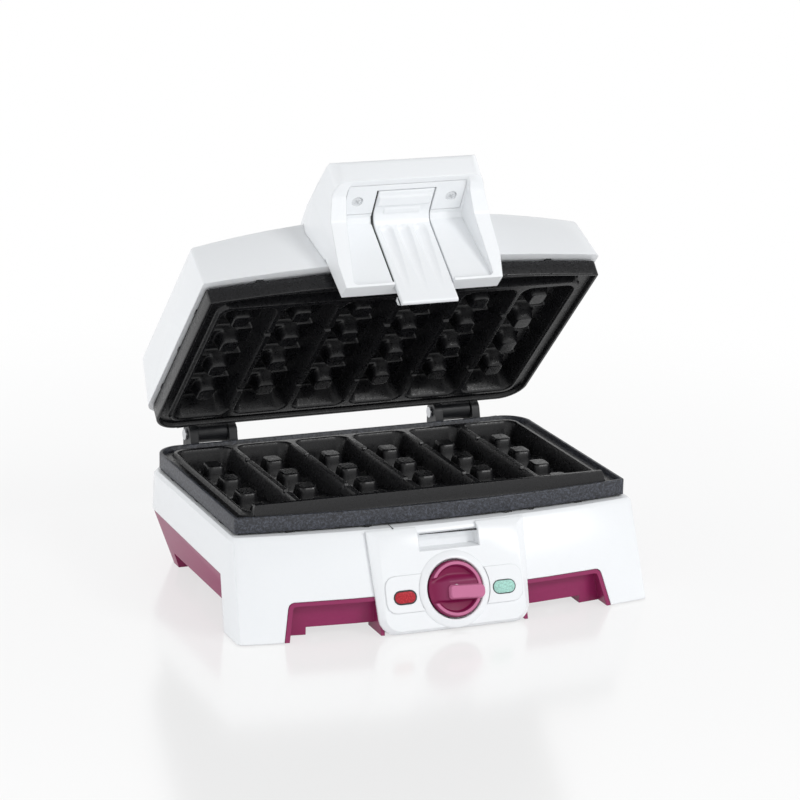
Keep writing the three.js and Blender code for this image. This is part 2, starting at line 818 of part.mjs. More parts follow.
function baseHousing() {
  let housing = housingShell(0);
  housing = cut(housing, prismZ(deckOpening(), deckHeight - shellWall - overrun, deckHeight + overrun));
  const bosses = bossPlaces.map(([x, y]) =>
    cut(
      cylinderZ(bossRadius, trayBottom + trayFloor + seatGap, deckHeight - shellWall / 2, x, y, 12),
      cylinderZ(baseScrewRadius + seatGap, 0, trayBottom + trayFloor + baseScrewLength + seatGap, x, y, 8),
    ),
  );
  housing = join(housing, ...bosses);
  const slopeFoot = -(deckHeight - panelBackingFoot) / Math.cos(THREE.MathUtils.degToRad(frontLean));
  const belowBacking = onFront(
    block(-windowInner - seatGap, windowInner + seatGap, slopeFoot - overrun * 2, slopeFoot, -overrun, overrun),
  );
  const shaftHole = onFront(cylinderZ(shaftRadius + runningGap, -overrun, overrun, 0, -knobDrop));
  const lampHoles = [-1, 1].map((side) =>
    onFront(shifted(lampOval(seatGap, -overrun, overrun), side * lampSpread, -lampDrop, 0)),
  );
  const catchWalls = common(catchPocket(shellWall), housingSolid(shellWall / 2, footGap, deckHeight - shellWall / 2));
  return cut(join(housing, catchWalls), belowBacking, shaftHole, ...lampHoles, catchPocket(0));
}

// The closed pocket that the hook drops into, under the ledge that holds it; grow gives its walls.
function catchPocket(grow) {
  const surface = (z) => -housingFront - tanDeg(frontLean) * (deckHeight - z);
  const half = catchHalfWidth + grow;
  const deep = catchDepth + grow;
  const profile = [
    V2(surface(catchSill) - overrun, catchSill - grow),
    V2(surface(catchSill) + deep, catchSill - grow),
    V2(surface(catchLedge) + deep, catchLedge + grow),
    V2(surface(catchLedge) - overrun, catchLedge + grow),
  ];
  return prismX(profile, -half, half);
}

function lampOval(grow, from, to) {
  const radius = lampHeight / 2 + grow;
  const x = lampLength / 2 + grow;
  const corners = [
    [-x, -radius, radius],
    [x, -radius, radius],
    [x, radius, radius],
    [-x, radius, radius],
  ];
  return prismZ(rounded(corners, 3), from, to);
}

// Chassis: a tray that the housing drops over, showing in the cut-outs and standing on four feet.
function chassisOutline(z, inset) {
  const top = sideCutBackHeight;
  const drop = Math.max(top - z, 0);
  const flush = housingHalfLength + (sideFlare * (deckHeight - top)) / deckHeight;
  const side = flush - tanDeg(chassisSideLean) * drop;
  const inner = housingFront + tanDeg(frontLean) * (deckHeight - z) - shellWall - seatGap;
  return bowedOutline({
    half: side - inset,
    front: Math.min(chassisFront, inner) - inset,
    back: housingBack - (chassisBackInset * drop) / top - inset,
    bowRadius: casingBowRadius,
    frontRadius: Math.max(housingFrontRadius - inset, shellWall / 2),
    backRadius: housingBackRadius - inset,
  });
}

function chassisSolid(inset, levels) {
  return loft(
    levels.map((z) => atHeight(chassisOutline(z, inset), z)),
    fromAbove,
  );
}

function chassisFeet() {
  const stub = chassisSolid(0, [footGap, trayBottom + trayFloor / 2]);
  const high = trayBottom + trayFloor;
  const front = -chassisFront - overrun;
  const zones = [-1, 1].flatMap((side) => {
    const inFront = [side * frontFootInner, side * frontFootOuter].sort((a, b) => a - b);
    const atBack = [side * backFootInner, side * housingHalfLength].sort((a, b) => a - b);
    const bowBack = frontFootInner ** 2 / (2 * casingBowRadius);
    return [
      block(...inFront, front, -chassisFront + bowBack + frontFootLength, -overrun, high),
      block(...atBack, backFootFront, backFootBack, -overrun, high),
    ];
  });
  return zones.map((zone) => common(stub, zone));
}

// The front wall runs on below the tray, between the two front feet.
function chassisSkirt() {
  const top = trayBottom + trayFloor / 2;
  const wall = cut(chassisSolid(0, [skirtFoot, top]), chassisSolid(chassisWall, [skirtFoot - overrun, top + overrun]));
  const back = -chassisFront + bowAt(frontFootOuter) + chassisWall * 2;
  return common(wall, block(-frontFootMiddle, frontFootMiddle, -chassisFront - overrun, back, 0, top));
}

const bowAt = (x) => (x * x) / (2 * casingBowRadius);
const frontFootMiddle = (frontFootInner + frontFootOuter) / 2;
const backFootMiddle = backFootInner + padRadius + runningGap * 2;
const padPlaces = {
  front_left: [-frontFootMiddle, bowAt(frontFootMiddle) - chassisFront + frontFootLength / 2],
  front_right: [frontFootMiddle, bowAt(frontFootMiddle) - chassisFront + frontFootLength / 2],
  back_left: [-backFootMiddle, (backFootFront + backFootBack) / 2],
  back_right: [backFootMiddle, (backFootFront + backFootBack) / 2],
};

function chassis() {
  const levels = [trayBottom, windowHeight, sideCutBackHeight, chassisTop];
  const tray = chassisSolid(0, levels);
  const hollowLevels = [trayBottom + trayFloor, windowHeight, sideCutBackHeight, chassisTop + overrun];
  let body = join(tray, chassisSkirt(), ...chassisFeet());
  const skin = housingSolid(0, footGap, windowHeight + overrun);
  const beads = [-1, 1].map((side) => {
    const frame = cut(frontWindow(side, seatGap), frontWindow(side, seatGap + beadWidth, windowRadius / 2));
    const belt = block(
      -housingHalfLength,
      housingHalfLength,
      -housingFront * 2,
      -chassisFront + bowAt(windowOuterFoot) + chassisWall,
      footGap,
      windowHeight,
    );
    return common(frame, skin, belt);
  });
  body = join(body, ...beads);
  body = cut(body, chassisSolid(chassisWall, hollowLevels), housingShell(seatGap));
  const behindPanel = block(
    -windowInner + seatGap * 2,
    windowInner - seatGap * 2,
    -housingFront * 2,
    -chassisFront + chassisWall * 2,
    trayBottom + trayFloor,
    chassisTop + overrun,
  );
  const padSeats = Object.values(padPlaces).map(([x, y]) =>
    cylinderZ(padRadius + seatGap, -overrun, footGap + padInset + seatGap, x, y),
  );
  const screwHoles = bossPlaces.map(([x, y]) =>
    cylinderZ(baseScrewRadius + seatGap, -overrun, trayBottom + overrun, x, y, 8),
  );
  const bossWells = bossPlaces.map(([x, y]) =>
    cylinderZ(bossRadius + seatGap, trayBottom + trayFloor, chassisTop + overrun, x, y, 12),
  );
  const inletHole = placeInlet(cylinderZ(inletRadius + seatGap, -overrun * 4, overrun * 2, 0, 0));
  body = cut(body, behindPanel, ...padSeats, ...screwHoles, ...bossWells, inletHole, ...frontRooms());
  const largest = body.decompose().sort((a, b) => b.volume() - a.volume())[0];
  return largest;
}

// Room in the chassis for what hangs behind the sloped front: thermostat and lamp bodies.
function frontRooms() {
  const front = -shellWall - seatGap;
  const halfWidth = thermostatPlateWidth / 2 + seatGap;
  const halfHeight = thermostatPlateHeight / 2 + seatGap;
  const plateRoom = block(-halfWidth, halfWidth, -halfHeight, halfHeight, front - thermostatPlateThickness - seatGap, 0);
  const drumRoom = cylinderZ(thermostatRadius + seatGap, front - thermostatDepth - seatGap, 0, 0, thermostatRise, 20);
  const lampRooms = [-1, 1].map((side) =>
    onFront(
      cylinderZ(lampBodyRadius + seatGap, front - lampBodyLength - seatGap, 0, side * lampSpread, -lampDrop, 12),
    ),
  );
  return [onKnobAxis(plateRoom), onKnobAxis(drumRoom), ...lampRooms];
}

// The cord's inlet sits in the sloped back wall of the chassis; local z points out of the wall.
const backLean = Math.atan(chassisBackInset / sideCutBackHeight);
const backWallY = housingBack - (chassisBackInset * (sideCutBackHeight - inletHeight)) / sideCutBackHeight;

function placeInlet(body) {
  const turn = new THREE.Matrix4()
    .makeTranslation(inletX, backWallY, inletHeight)
    .multiply(new THREE.Matrix4().makeRotationX(-Math.PI / 2 - backLean));
  return place(body, turn);
}

function cordInlet() {
  const profile = [
    [inletBore, -inletLength],
    [inletRadius, -inletLength],
    [inletRadius, seatGap],
    [inletFlangeRadius, seatGap],
    [inletFlangeRadius - inletFlange / 2, seatGap + inletFlange],
    [inletBore + inletFlange / 2, seatGap + inletFlange],
    [inletBore, seatGap + inletFlange / 2],
    [inletBore, -inletLength],
  ];
  return placeInlet(turned(profile, 14));
}

function terminalBlock() {
  const floor = trayBottom + trayFloor + seatGap;
  const y = housingBack - backBossFromBack - bossRadius - seatGap - terminalWidth;
  const body = block(inletX - terminalLength / 2, inletX + terminalLength / 2, y, y + terminalWidth, floor, floor + terminalHeight);
  const wells = [-1, 0, 1].map((i) =>
    cylinderZ(
      terminalStep / 2,
      floor + terminalHeight / 2,
      floor + terminalHeight + overrun,
      inletX + (i * terminalLength) / 3,
      y + terminalWidth / 2,
      8,
    ),
  );
  return cut(body, ...wells);
}

function footPad([x, y]) {
  const top = footGap + padInset;
  return shifted(
    turned([
      [0, 0],
      [padRadius - footGap, 0],
      [padRadius, footGap],
      [padRadius, top],
      [0, top],
    ], 10),
    x,
    y,
    0,
  );
}

function baseScrew([x, y]) {
  const head = trayBottom - seatGap;
  return shifted(
    turned([
      [0, head - baseScrewHeadThickness],
      [baseScrewHeadRadius, head - baseScrewHeadThickness],
      [baseScrewHeadRadius, head],
      [baseScrewRadius, head],
      [baseScrewRadius, trayBottom + trayFloor + baseScrewLength],
      [0, trayBottom + trayFloor + baseScrewLength],
    ], 8),
    x,
    y,
    0,
  );
}

// Control panel, drawn in the sloped front's frame.
const slope = Math.cos(THREE.MathUtils.degToRad(frontLean));
const panelFoot = -(deckHeight - footGap - panelFootGap + panelProud * Math.sin(THREE.MathUtils.degToRad(frontLean))) / slope;

function panelOutline(topHalf, footHalf, top, foot, radius) {
  return rounded([
    [-topHalf, top, 0],
    [-footHalf, foot, radius],
    [footHalf, foot, radius],
    [topHalf, top, 0],
  ], 5);
}

function controlPanel() {
  const base = panelOutline(panelTopHalfWidth, panelFootHalfWidth, 0, panelFoot, panelFootRadius);
  const face = panelOutline(
    panelFaceTopHalfWidth,
    panelFaceFootHalfWidth,
    -panelTopBevel,
    panelFoot + panelProud / 2,
    panelFootRadius - panelProud / 2,
  );
  const levels = [atHeight(base, -overrun), atHeight(base, 0), atHeight(face, panelProud)];
  let panel = loft(levels, fromAbove);
  const bezel = cut(
    cylinderZ(bezelOuterRadius, 0, panelProud + bezelProud, 0, -knobDrop, 32),
    cylinderZ(bezelInnerRadius, panelProud - bezelProud, panelProud + overrun, 0, -knobDrop, 32),
  );
  const bandCorners = [
    [-bandHalfWidth, -knobDrop - bandHalfHeight, bandRadius],
    [bandHalfWidth, -knobDrop - bandHalfHeight, bandRadius],
    [bandHalfWidth, -knobDrop + bandHalfHeight, bandRadius],
    [-bandHalfWidth, -knobDrop + bandHalfHeight, bandRadius],
  ];
  panel = join(panel, prismZ(rounded(bandCorners), 0, panelProud + bandProud));
  panel = cut(panel, cylinderZ(bezelInnerRadius, panelProud - bezelProud, panelProud + overrun, 0, -knobDrop, 32));
  panel = join(panel, bezel);
  const holes = [-1, 1].map((side) =>
    shifted(lampOval(seatGap, -overrun * 2, overrun * 2), side * lampSpread, -lampDrop, 0),
  );
  const shaftHole = cylinderZ(shaftRadius + runningGap, -overrun * 2, overrun * 2, 0, -knobDrop);
  panel = onFront(cut(panel, shaftHole, ...holes));
  const behind = housingSolid(-seatGap, -overrun * 2, deckHeight + overrun);
  const notch = prismX(
    [
      V2(-housingFront * 2, catchSill),
      V2(0, catchSill),
      V2(0, deckHeight + overrun),
      V2(-housingFront * 2, deckHeight + overrun),
    ],
    -catchHalfWidth,
    catchHalfWidth,
  );
  const overDeck = block(-housingFront, housingFront, -housingFront * 2, 0, deckHeight, deckHeight + overrun * 3);
  const underFoot = block(-housingFront, housingFront, -housingFront * 2, 0, -overrun * 3, footGap);
  const shell = cut(panel, behind, notch, overDeck, underFoot);
  return shell.decompose().sort((a, b) => b.volume() - a.volume())[0];
}

function lampLens(side) {
  const dome = loft(
    [
      atHeight(lensOutline(0), -shellWall),
      atHeight(lensOutline(0), panelProud),
      atHeight(lensOutline(lensProud), panelProud + bandProud + lensProud),
    ],
    fromAbove,
  );
  return onFront(shifted(dome, side * lampSpread, -lampDrop, 0));
}

function lensOutline(inset) {
  const radius = lampHeight / 2 - inset;
  const x = lampLength / 2 - inset;
  return rounded([
    [-x, -radius, radius],
    [x, -radius, radius],
    [x, radius, radius],
    [-x, radius, radius],
  ], 3);
}

function lampBody(side) {
  const foot = -shellWall - seatGap - lampBodyLength;
  const bulb = turned([
    [0, foot],
    [lampBodyRadius, foot],
    [lampBodyRadius, -shellWall - seatGap - lampBodyRadius / 2],
    [lampBodyRadius / 2, -shellWall - seatGap],
    [0, -shellWall - seatGap],
  ], 12);
  return onFront(shifted(bulb, side * lampSpread, -lampDrop, 0));
}

// Knob, thermostat and its shaft, drawn about +Z and set on the knob's axis.
const knobFoot = panelProud - bezelProud + runningGap;
const onKnobAxis = (body) => onFront(shifted(body, 0, -knobDrop, 0));

function knobBar(reachLeft, reachRight, widthLeft, widthRight) {
  const foot = knobFoot + knobSkirt / 2;
  const top = knobFoot + knobSkirt + gripHeight;
  const ring = (inset, z) => {
    const left = widthLeft / 2 - inset;
    const right = widthRight / 2 - inset;
    const corners = [
      [-reachLeft + inset, -left, left / 2],
      [reachRight - inset, -right, right / 2],
      [reachRight - inset, right, right / 2],
      [-reachLeft + inset, left, left / 2],
    ];
    return atHeight(rounded(corners), z);
  };
  return loft([ring(0, foot), ring(gripTaper, top)], fromAbove);
}

function knob() {
  const edge = knobFoot + knobSkirt;
  const ringInner = knobRadius - knobRingWidth;
  const cap = turned([
    [0, knobFoot],
    [knobRadius, knobFoot],
    [knobRadius, edge - knobEdge],
    [knobRadius - knobEdge, edge],
    [ringInner, edge],
    [ringInner - knobDish, edge - knobDish],
    [0, edge - knobDish],
  ], 28);
  const bar = knobBar(gripReach, gripReach, gripWidth, gripNarrowWidth);
  const pointer = knobBar(0, pointerReach, pointerWidth, pointerWidth);
  const socket = cylinderZ(shaftRadius + seatGap, knobFoot - overrun, edge, 0, 0, 12);
  return onKnobAxis(cut(join(cap, bar, pointer), socket));
}

function thermostatShaft() {
  const foot = -shellWall - thermostatPlateThickness - seatGap;
  return onKnobAxis(cylinderZ(shaftRadius, foot, knobFoot + knobSkirt - seatGap, 0, 0, 12));
}

function thermostat() {
  const front = -shellWall - seatGap;
  const plate = block(
    -thermostatPlateWidth / 2,
    thermostatPlateWidth / 2,
    -thermostatPlateHeight / 2,
    thermostatPlateHeight / 2,
    front - thermostatPlateThickness,
    front,
  );
  const drum = cylinderZ(thermostatRadius, front - thermostatDepth, front - thermostatPlateThickness / 2, 0, thermostatRise, 20);
  const bore = cylinderZ(shaftRadius + runningGap, front - thermostatPlateThickness - seatGap * 2, overrun, 0, 0, 12);
  return onKnobAxis(cut(join(plate, drum), bore));
}

// Lid shell, drawn closed as a row of cross-sections from left to right.
function lidProfile(x, inset) {
  const half = lidHalfLength - inset;
  const fromSide = half - Math.abs(x);
  const fillet = (radius) => {
    const short = Math.max(radius - fromSide, 0);
    return radius - Math.sqrt(Math.max(radius * radius - short * short, 0));
  };
  const seam = inset > 0 ? seamHeight + lidFlange : seamHeight;
  const crown = lidCrown * (1 - (x / lidHalfLength) ** 2);
  const edgeRadius = Math.max(lidEdgeRadius - inset, shellWall / 2);
  const top = lidSideHeight + crown - inset - fillet(edgeRadius);
  const front = -lidFront + bowAt(x) + inset + fillet(edgeRadius);
  const back = lidBack - inset - fillet(Math.max(lidBackRadius - inset, shellWall));
  const frontY = (z) => front + tanDeg(lidFrontLean) * (z - seamHeight);
  const backY = (z) => back - tanDeg(lidBackLean) * (z - seamHeight);
  const sideX = (z) => x * (1 - (tanDeg(lidSideLean) * (z - seamHeight)) / lidHalfLength);
  const corners = rounded([
    [frontY(seam), seam, 0],
    [backY(seam), seam, 0],
    [backY(top), top, edgeRadius],
    [frontY(top), top, edgeRadius],
  ], 2);
  return corners.map((p) => V3(sideX(p.y), p.x, p.y));
}

const lidSideShares = [0, 0.13, 0.5, 1];
const lidSpanShares = [0.86, 0.7, 0.5, 0.25, 0];

function lidSolid(inset) {
  const half = lidHalfLength - inset;
  const nearSide = lidSideShares.map((share) => half - share * lidEdgeRadius);
  const corner = [0.5, 1].map((share) => half - share * lidBackRadius);
  const span = lidSpanShares.map((share) => share * (half - lidBackRadius));
  const right = [...new Set([...nearSide, ...corner, ...span])].sort((a, b) => a - b);
  const left = right.filter((x) => x > 0).map((x) => -x).reverse();
  return loft(
    [...left, ...right].map((x) => lidProfile(x, inset)),
    fromRight,
  );
}

function lidShell() {
  const opening = prismZ(deckOpening(), seamHeight - overrun, seamHeight + lidFlange + overrun);
  return cut(lidSolid(0), lidSolid(shellWall), opening);
}

// Handle, drawn closed: three outlines crossed, hollowed by the finger pocket.
function handleBlock() {
  const side = rounded([
    [ahead(handleFootBack), above(handleFoot), 0],
    [ahead(-browReachBack), above(handleFoot), 0],
    [ahead(-browReachBack), lidSideHeight, 0],
    [ahead(browTopBack), above(browBackHeight), browRadius],
    [ahead(browTopFront), above(browTop), browRadius],
    [ahead(browFront), above(browTop) - browRadius, browRadius],
    [ahead(browFront), above(browFoot), 0],
    [ahead(browTopFront), above(browFoot) - browRadius, browRadius],
    [ahead(cheekFront), above(cheekTop), browRadius],
    [ahead(handleFootFront), above(handleFoot), 0],
  ]);
  const front = rounded([
    [-handleFootHalfWidth, above(handleFoot), 0],
    [handleFootHalfWidth, above(handleFoot), 0],
    [handleRootHalfWidth, above(handleRootHeight), 0],
    [handleTopHalfWidth, above(browTop), handleTopRadius],
    [-handleTopHalfWidth, above(browTop), handleTopRadius],
    [-handleRootHalfWidth, above(handleRootHeight), 0],
  ], 4);
  const plan = rounded([
    [-handleRootHalfWidth, ahead(-browReachBack), 0],
    [-handleRootHalfWidth, -plateFront, 0],
    [-handleFrontHalfWidth, ahead(browFront), handleFrontRadius],
    [handleFrontHalfWidth, ahead(browFront), handleFrontRadius],
    [handleRootHalfWidth, -plateFront, 0],
    [handleRootHalfWidth, ahead(-browReachBack), 0],
  ], 4);
  return common(
    prismX(side, -handleRootHalfWidth, handleRootHalfWidth),
    prismY(front, ahead(browFront) - overrun, 0),
    prismZ(plan, above(handleFoot) - overrun, above(browTop) + overrun),
  );
}

function fingerPocket() {
  const inFront = ahead(browFront) - overrun;
  const side = [
    V2(inFront, above(pocketFoot)),
    V2(ahead(pocketFootBack), above(pocketFoot)),
    V2(ahead(pocketBendBack), above(pocketBendHeight)),
    V2(ahead(pocketRoofBack), above(pocketRoofHeight)),
    V2(ahead(pocketRoofFront), above(pocketRoofFrontHeight)),
    V2(inFront, above(pocketRoofFrontHeight)),
  ];
  const roof = above(pocketRoofFrontHeight) + seatGap;
  const front = rounded([
    [-pocketFootHalfWidth, above(pocketFoot), pocketRadius / 2],
    [pocketFootHalfWidth, above(pocketFoot), pocketRadius / 2],
    [pocketTopHalfWidth, roof, pocketRadius],
    [-pocketTopHalfWidth, roof, pocketRadius],
  ]);
  return common(
    prismX(side, -pocketFootHalfWidth - overrun, pocketFootHalfWidth + overrun),
    prismY(front, inFront - overrun, 0),
  );
}

// The roof of the pocket, as the line that the cover and the lever's upper arm follow.
const roofRun = V2(pocketRoofBack - pocketRoofFront, pocketRoofFrontHeight - pocketRoofHeight);
const roofAngle = Math.atan2(roofRun.y, roofRun.x);
const roofAlong = roofRun.clone().normalize();
const roofUp = V2(-roofAlong.y, roofAlong.x).multiplyScalar(-1);
const roofPoint = (along, up) =>
  V2(ahead(pocketRoofBack), above(pocketRoofHeight)).addScaledVector(roofAlong, along).addScaledVector(roofUp, up);

function coverSolid(grow) {
  const long = roofRun.length();
  const profile = [
    roofPoint(coverInset - grow, -grow),
    roofPoint(long - coverFrontInset + grow, -grow),
    roofPoint(long - coverFrontInset + grow, coverThickness + grow),
    roofPoint(coverInset - grow, coverThickness + grow),
  ];
  const half = pocketTopHalfWidth - coverInset / 2 + grow;
  return prismX(profile, -half, half);
}

// The lever: an arm under the brow, a bend, and a long arm down the back of the pocket.
const longArmTop = V2(ahead(pocketBendBack), above(pocketBendHeight));
const longArmFoot = V2(ahead(leverTipFront), above(leverTipHeight));
const longArmRun = longArmFoot.clone().sub(longArmTop);
const longArmAlong = longArmRun.clone().normalize();
const longArmIn = V2(-longArmAlong.y, longArmAlong.x);
const leverPivotY = ahead(leverPivotAhead);
const leverPivotZ = above(leverPivotHeight);

function leverProfile(grow) {
  const upperLong = roofRun.length() - coverInset * 2;
  const along = (point, distance) => point.clone().addScaledVector(longArmIn, distance);
  return [
    roofPoint(upperLong + grow, -grow),
    roofPoint(0, -grow),
    along(longArmTop, -grow),
    along(longArmFoot, -grow).addScaledVector(longArmAlong, grow),
    along(longArmFoot, leverThickness + grow).addScaledVector(longArmAlong, grow),
    along(longArmTop, leverThickness + grow),
    roofPoint(-leverThickness / 2, leverThickness + grow),
    roofPoint(upperLong + grow, leverThickness + grow),
  ];
}

const screwAlong = roofRun.length() / 2;

function coverScrewHole(side, radius, from, to) {
  const at = roofPoint(screwAlong, 0);
  const turn = new THREE.Matrix4()
    .makeTranslation(side * coverScrewSpread, at.x, at.y)
    .multiply(new THREE.Matrix4().makeRotationX(roofAngle));
  return place(cylinderZ(radius, from, to, 0, 0, 12), turn);
}

function leverSlot() {
  const reach = leverHalfWidth + runningGap;
  const slots = Array.from({ length: slotSteps + 1 }, (_, i) => {
    const arm = prismX(leverProfile(runningGap), -reach, reach);
    return turnedAbout(arm, leverPivotY, leverPivotZ, (leverTravel * i) / slotSteps);
  });
  const well = block(
    -reach,
    reach,
    leverPivotY - leverEarRadius,
    leverPivotY + leverEarRadius + runningGap * 2,
    above(pocketFoot) + overrun,
    above(pocketRoofHeight) + leverEarRadius,
  );
  return [...slots, well];
}

function turnedAbout(body, y, z, degrees) {
  const matrix = new THREE.Matrix4()
    .makeTranslation(0, y, z)
    .multiply(new THREE.Matrix4().makeRotationX(-THREE.MathUtils.degToRad(degrees)))
    .multiply(new THREE.Matrix4().makeTranslation(0, -y, -z));
  return place(body, matrix);
}

function handle() {
  const lidFace = lidSolid(-seatGap);
  const belowSeam = block(
    -handleRootHalfWidth * 2,
    handleRootHalfWidth * 2,
    ahead(handleFootBack),
    0,
    0,
    seamHeight + overrun,
  );
  const pinHole = cylinderX(
    leverPinRadius + seatGap / 2,
    -leverHalfWidth - leverEarWidth * 2,
    leverHalfWidth + leverEarWidth * 2,
    leverPivotY,
    leverPivotZ,
    12,
  );
  const screwHoles = [-1, 1].map((side) =>
    coverScrewHole(side, screwShankRadius + seatGap, -screwShankLength - seatGap * 2, overrun),
  );
  const body = cut(
    handleBlock(),
    lidFace,
    belowSeam,
    fingerPocket(),
    coverSolid(seatGap),
    ...leverSlot(),
    pinHole,
    ...screwHoles,
    springWell(),
  );
  return body.decompose().sort((a, b) => b.volume() - a.volume())[0];
}

function leverCover() {
  const slots = leverSlot();
  const screwHoles = [-1, 1].flatMap((side) => [
    coverScrewHole(side, screwShankRadius + seatGap, -coverThickness - overrun, overrun),
    coverScrewHole(side, screwHeadRadius + seatGap, -screwHeadThickness - seatGap, overrun),
  ]);
  return cut(coverSolid(0), ...slots, ...screwHoles);
}

function coverScrew(side) {
  const head = coverScrewHole(side, screwHeadRadius, -screwHeadThickness, -seatGap);
  return join(head, coverScrewHole(side, screwShankRadius, -screwShankLength, -screwHeadThickness / 2));
}

function releaseLever() {
  let lever = prismX(leverProfile(0), -leverHalfWidth, leverHalfWidth);
  const hookPoint = (up, inward) =>
    longArmFoot.clone().addScaledVector(longArmAlong, -up).addScaledVector(longArmIn, inward);
  const hook = prismX(
    [
      hookPoint(0, leverThickness / 2),
      hookPoint(0, leverThickness),
      hookPoint(hookHeight / 2, leverThickness + hookDepth),
      hookPoint(hookHeight, leverThickness + hookDepth),
      hookPoint(hookHeight, leverThickness / 2),
    ],
    -leverHalfWidth,
    leverHalfWidth,
  );
  const ears = [-1, 0, 1].map((i) => {
    const x = i * (leverHalfWidth - leverEarWidth / 2);
    return cylinderX(leverEarRadius, x - leverEarWidth / 2, x + leverEarWidth / 2, leverPivotY, leverPivotZ, 16);
  });
  const ribs = Array.from({ length: ribCount }, (_, i) => {
    const along = roofRun.length() / 2 + (i - (ribCount - 1) / 2) * ribPitch;
    return prismX(
      [
        roofPoint(along - ribWidth / 2, leverThickness / 2),
        roofPoint(along - ribWidth / 4, -ribHeight),
        roofPoint(along + ribWidth / 4, -ribHeight),
        roofPoint(along + ribWidth / 2, leverThickness / 2),
      ],
      -ribHalfLength,
      ribHalfLength,
    );
  });
  const pinHole = cylinderX(
    leverPinRadius + seatGap,
    -leverHalfWidth - overrun,
    leverHalfWidth + overrun,
    leverPivotY,
    leverPivotZ,
    12,
  );
  lever = cut(join(lever, hook, ...ears, ...ribs), pinHole, ...flutes());
  return lever;
}

function flutes() {
  const total = longArmRun.length();
  return Array.from({ length: fluteCount }, (_, i) => {
    const x = (i - (fluteCount - 1) / 2) * flutePitch;
    const top = longArmTop.clone().addScaledVector(longArmAlong, total * fluteTopShare);
    const foot = longArmTop.clone().addScaledVector(longArmAlong, total * fluteFootShare);
    const lift = fluteRadius - fluteDepth;
    top.addScaledVector(longArmIn, -lift);
    foot.addScaledVector(longArmIn, -fluteRadius);
    const run = foot.clone().sub(top);
    const rod = new THREE.CylinderGeometry(fluteRadius, fluteRadius, run.length(), 16);
    const turn = new THREE.Matrix4()
      .makeTranslation(x, (top.x + foot.x) / 2, (top.y + foot.y) / 2)
      .multiply(new THREE.Matrix4().makeRotationX(Math.atan2(run.y, run.x)));
    return solid(rod.applyMatrix4(turn));
  });
}

function leverPin() {
  const reach = leverHalfWidth + leverEarWidth * 2 - seatGap;
  return cylinderX(leverPinRadius, -reach, reach, leverPivotY, leverPivotZ, 12);
}

// The lever's return spring stands between its upper arm and the roof of the brow.
const springAlong = roofRun.length() * 0.55;
const springLength = leverThickness * 2;

function onRoof(body, along, up) {
  const at = roofPoint(along, up);
  const turn = new THREE.Matrix4()
    .makeTranslation(0, at.x, at.y)
    .multiply(new THREE.Matrix4().makeRotationX(roofAngle));
  return place(body, turn);
}

function springWell() {
  const radius = springRadius + springWire + runningGap;
  return onRoof(cylinderZ(radius, -springLength - seatGap, 0, 0, 0, 16), springAlong, leverThickness + seatGap);
}

function leverSpring() {
  const steps = springTurns * 6;
  const points = [];
  for (let i = 0; i <= steps; i++) {
    const angle = (2 * Math.PI * springTurns * i) / steps;
    const rise = springWire + (springLength - springWire * 2 - seatGap) * (i / steps);
    points.push(V3(springRadius * Math.cos(angle), springRadius * Math.sin(angle), -rise));
  }
  const coil = tube(new THREE.CatmullRomCurve3(points), springWire / 2, steps, 4);
  return onRoof(coil, springAlong, leverThickness + seatGap);
}

// Hinges: a bracket on the housing's back, an arm on the lid's back, and a pin through both.
function hingeBracket(side) {
  const foot = deckHeight - bracketHeight;
  const back = housingBack + seatGap;
  const earBack = hingeBack + knuckleRadius;
  const plate = block(0, hingeWidth, back, back + bracketThickness, foot, deckHeight);
  const earProfile = rounded([
    [back, foot, 0],
    [earBack, deckHeight - bracketThickness, knuckleRadius / 2],
    [earBack, hingeHeight + knuckleRadius, knuckleRadius - seatGap],
    [hingeBack - knuckleRadius, hingeHeight + knuckleRadius, knuckleRadius - seatGap],
    [back, deckHeight, 0],
  ], 4);
  const ears = [0, hingeWidth - earWidth].map((x) => prismX(earProfile, x, x + earWidth));
  const bore = cylinderX(pinRadius + seatGap, -overrun, hingeWidth + overrun, hingeBack, hingeHeight, 12);
  const body = cut(join(plate, ...ears), bore);
  return shifted(body, side > 0 ? hingeInner : -hingeInner - hingeWidth, 0, 0);
}

function hingeArm(side) {
  const from = earWidth + runningGap;
  const to = hingeWidth - earWidth - runningGap;
  const wallY = (z) => lidBack - tanDeg(lidBackLean) * (z - seamHeight) + seatGap * 1.5;
  const low = seamHeight + shellWall;
  const high = seamHeight + armHeight;
  const profile = [
    V2(wallY(low), low),
    V2(wallY(low) + armThickness, low - armThickness),
    V2(hingeBack - knuckleRadius / 2, hingeHeight - knuckleRadius / 2),
    V2(hingeBack + knuckleRadius * 0.8, hingeHeight + knuckleRadius / 2),
    V2(wallY(high) + armThickness, high),
    V2(wallY(high), high),
  ];
  const knuckle = cylinderX(knuckleRadius, from, to, hingeBack, hingeHeight, 20);
  const bore = cylinderX(pinRadius + seatGap, from - overrun, to + overrun, hingeBack, hingeHeight, 12);
  const body = cut(join(prismX(profile, from, to), knuckle), bore);
  return shifted(body, side > 0 ? hingeInner : -hingeInner - hingeWidth, 0, 0);
}

function hingePin(side) {
  const rod = cylinderX(pinRadius, -seatGap - pinHeadThickness / 2, hingeWidth + seatGap, hingeBack, hingeHeight, 12);
  const heads = [
    cylinderX(pinHeadRadius, -seatGap - pinHeadThickness, -seatGap, hingeBack, hingeHeight, 12),
    cylinderX(pinHeadRadius, hingeWidth + seatGap, hingeWidth + seatGap + pinHeadThickness, hingeBack, hingeHeight, 12),
  ];
  return shifted(join(rod, ...heads), side > 0 ? hingeInner : -hingeInner - hingeWidth, 0, 0);
}

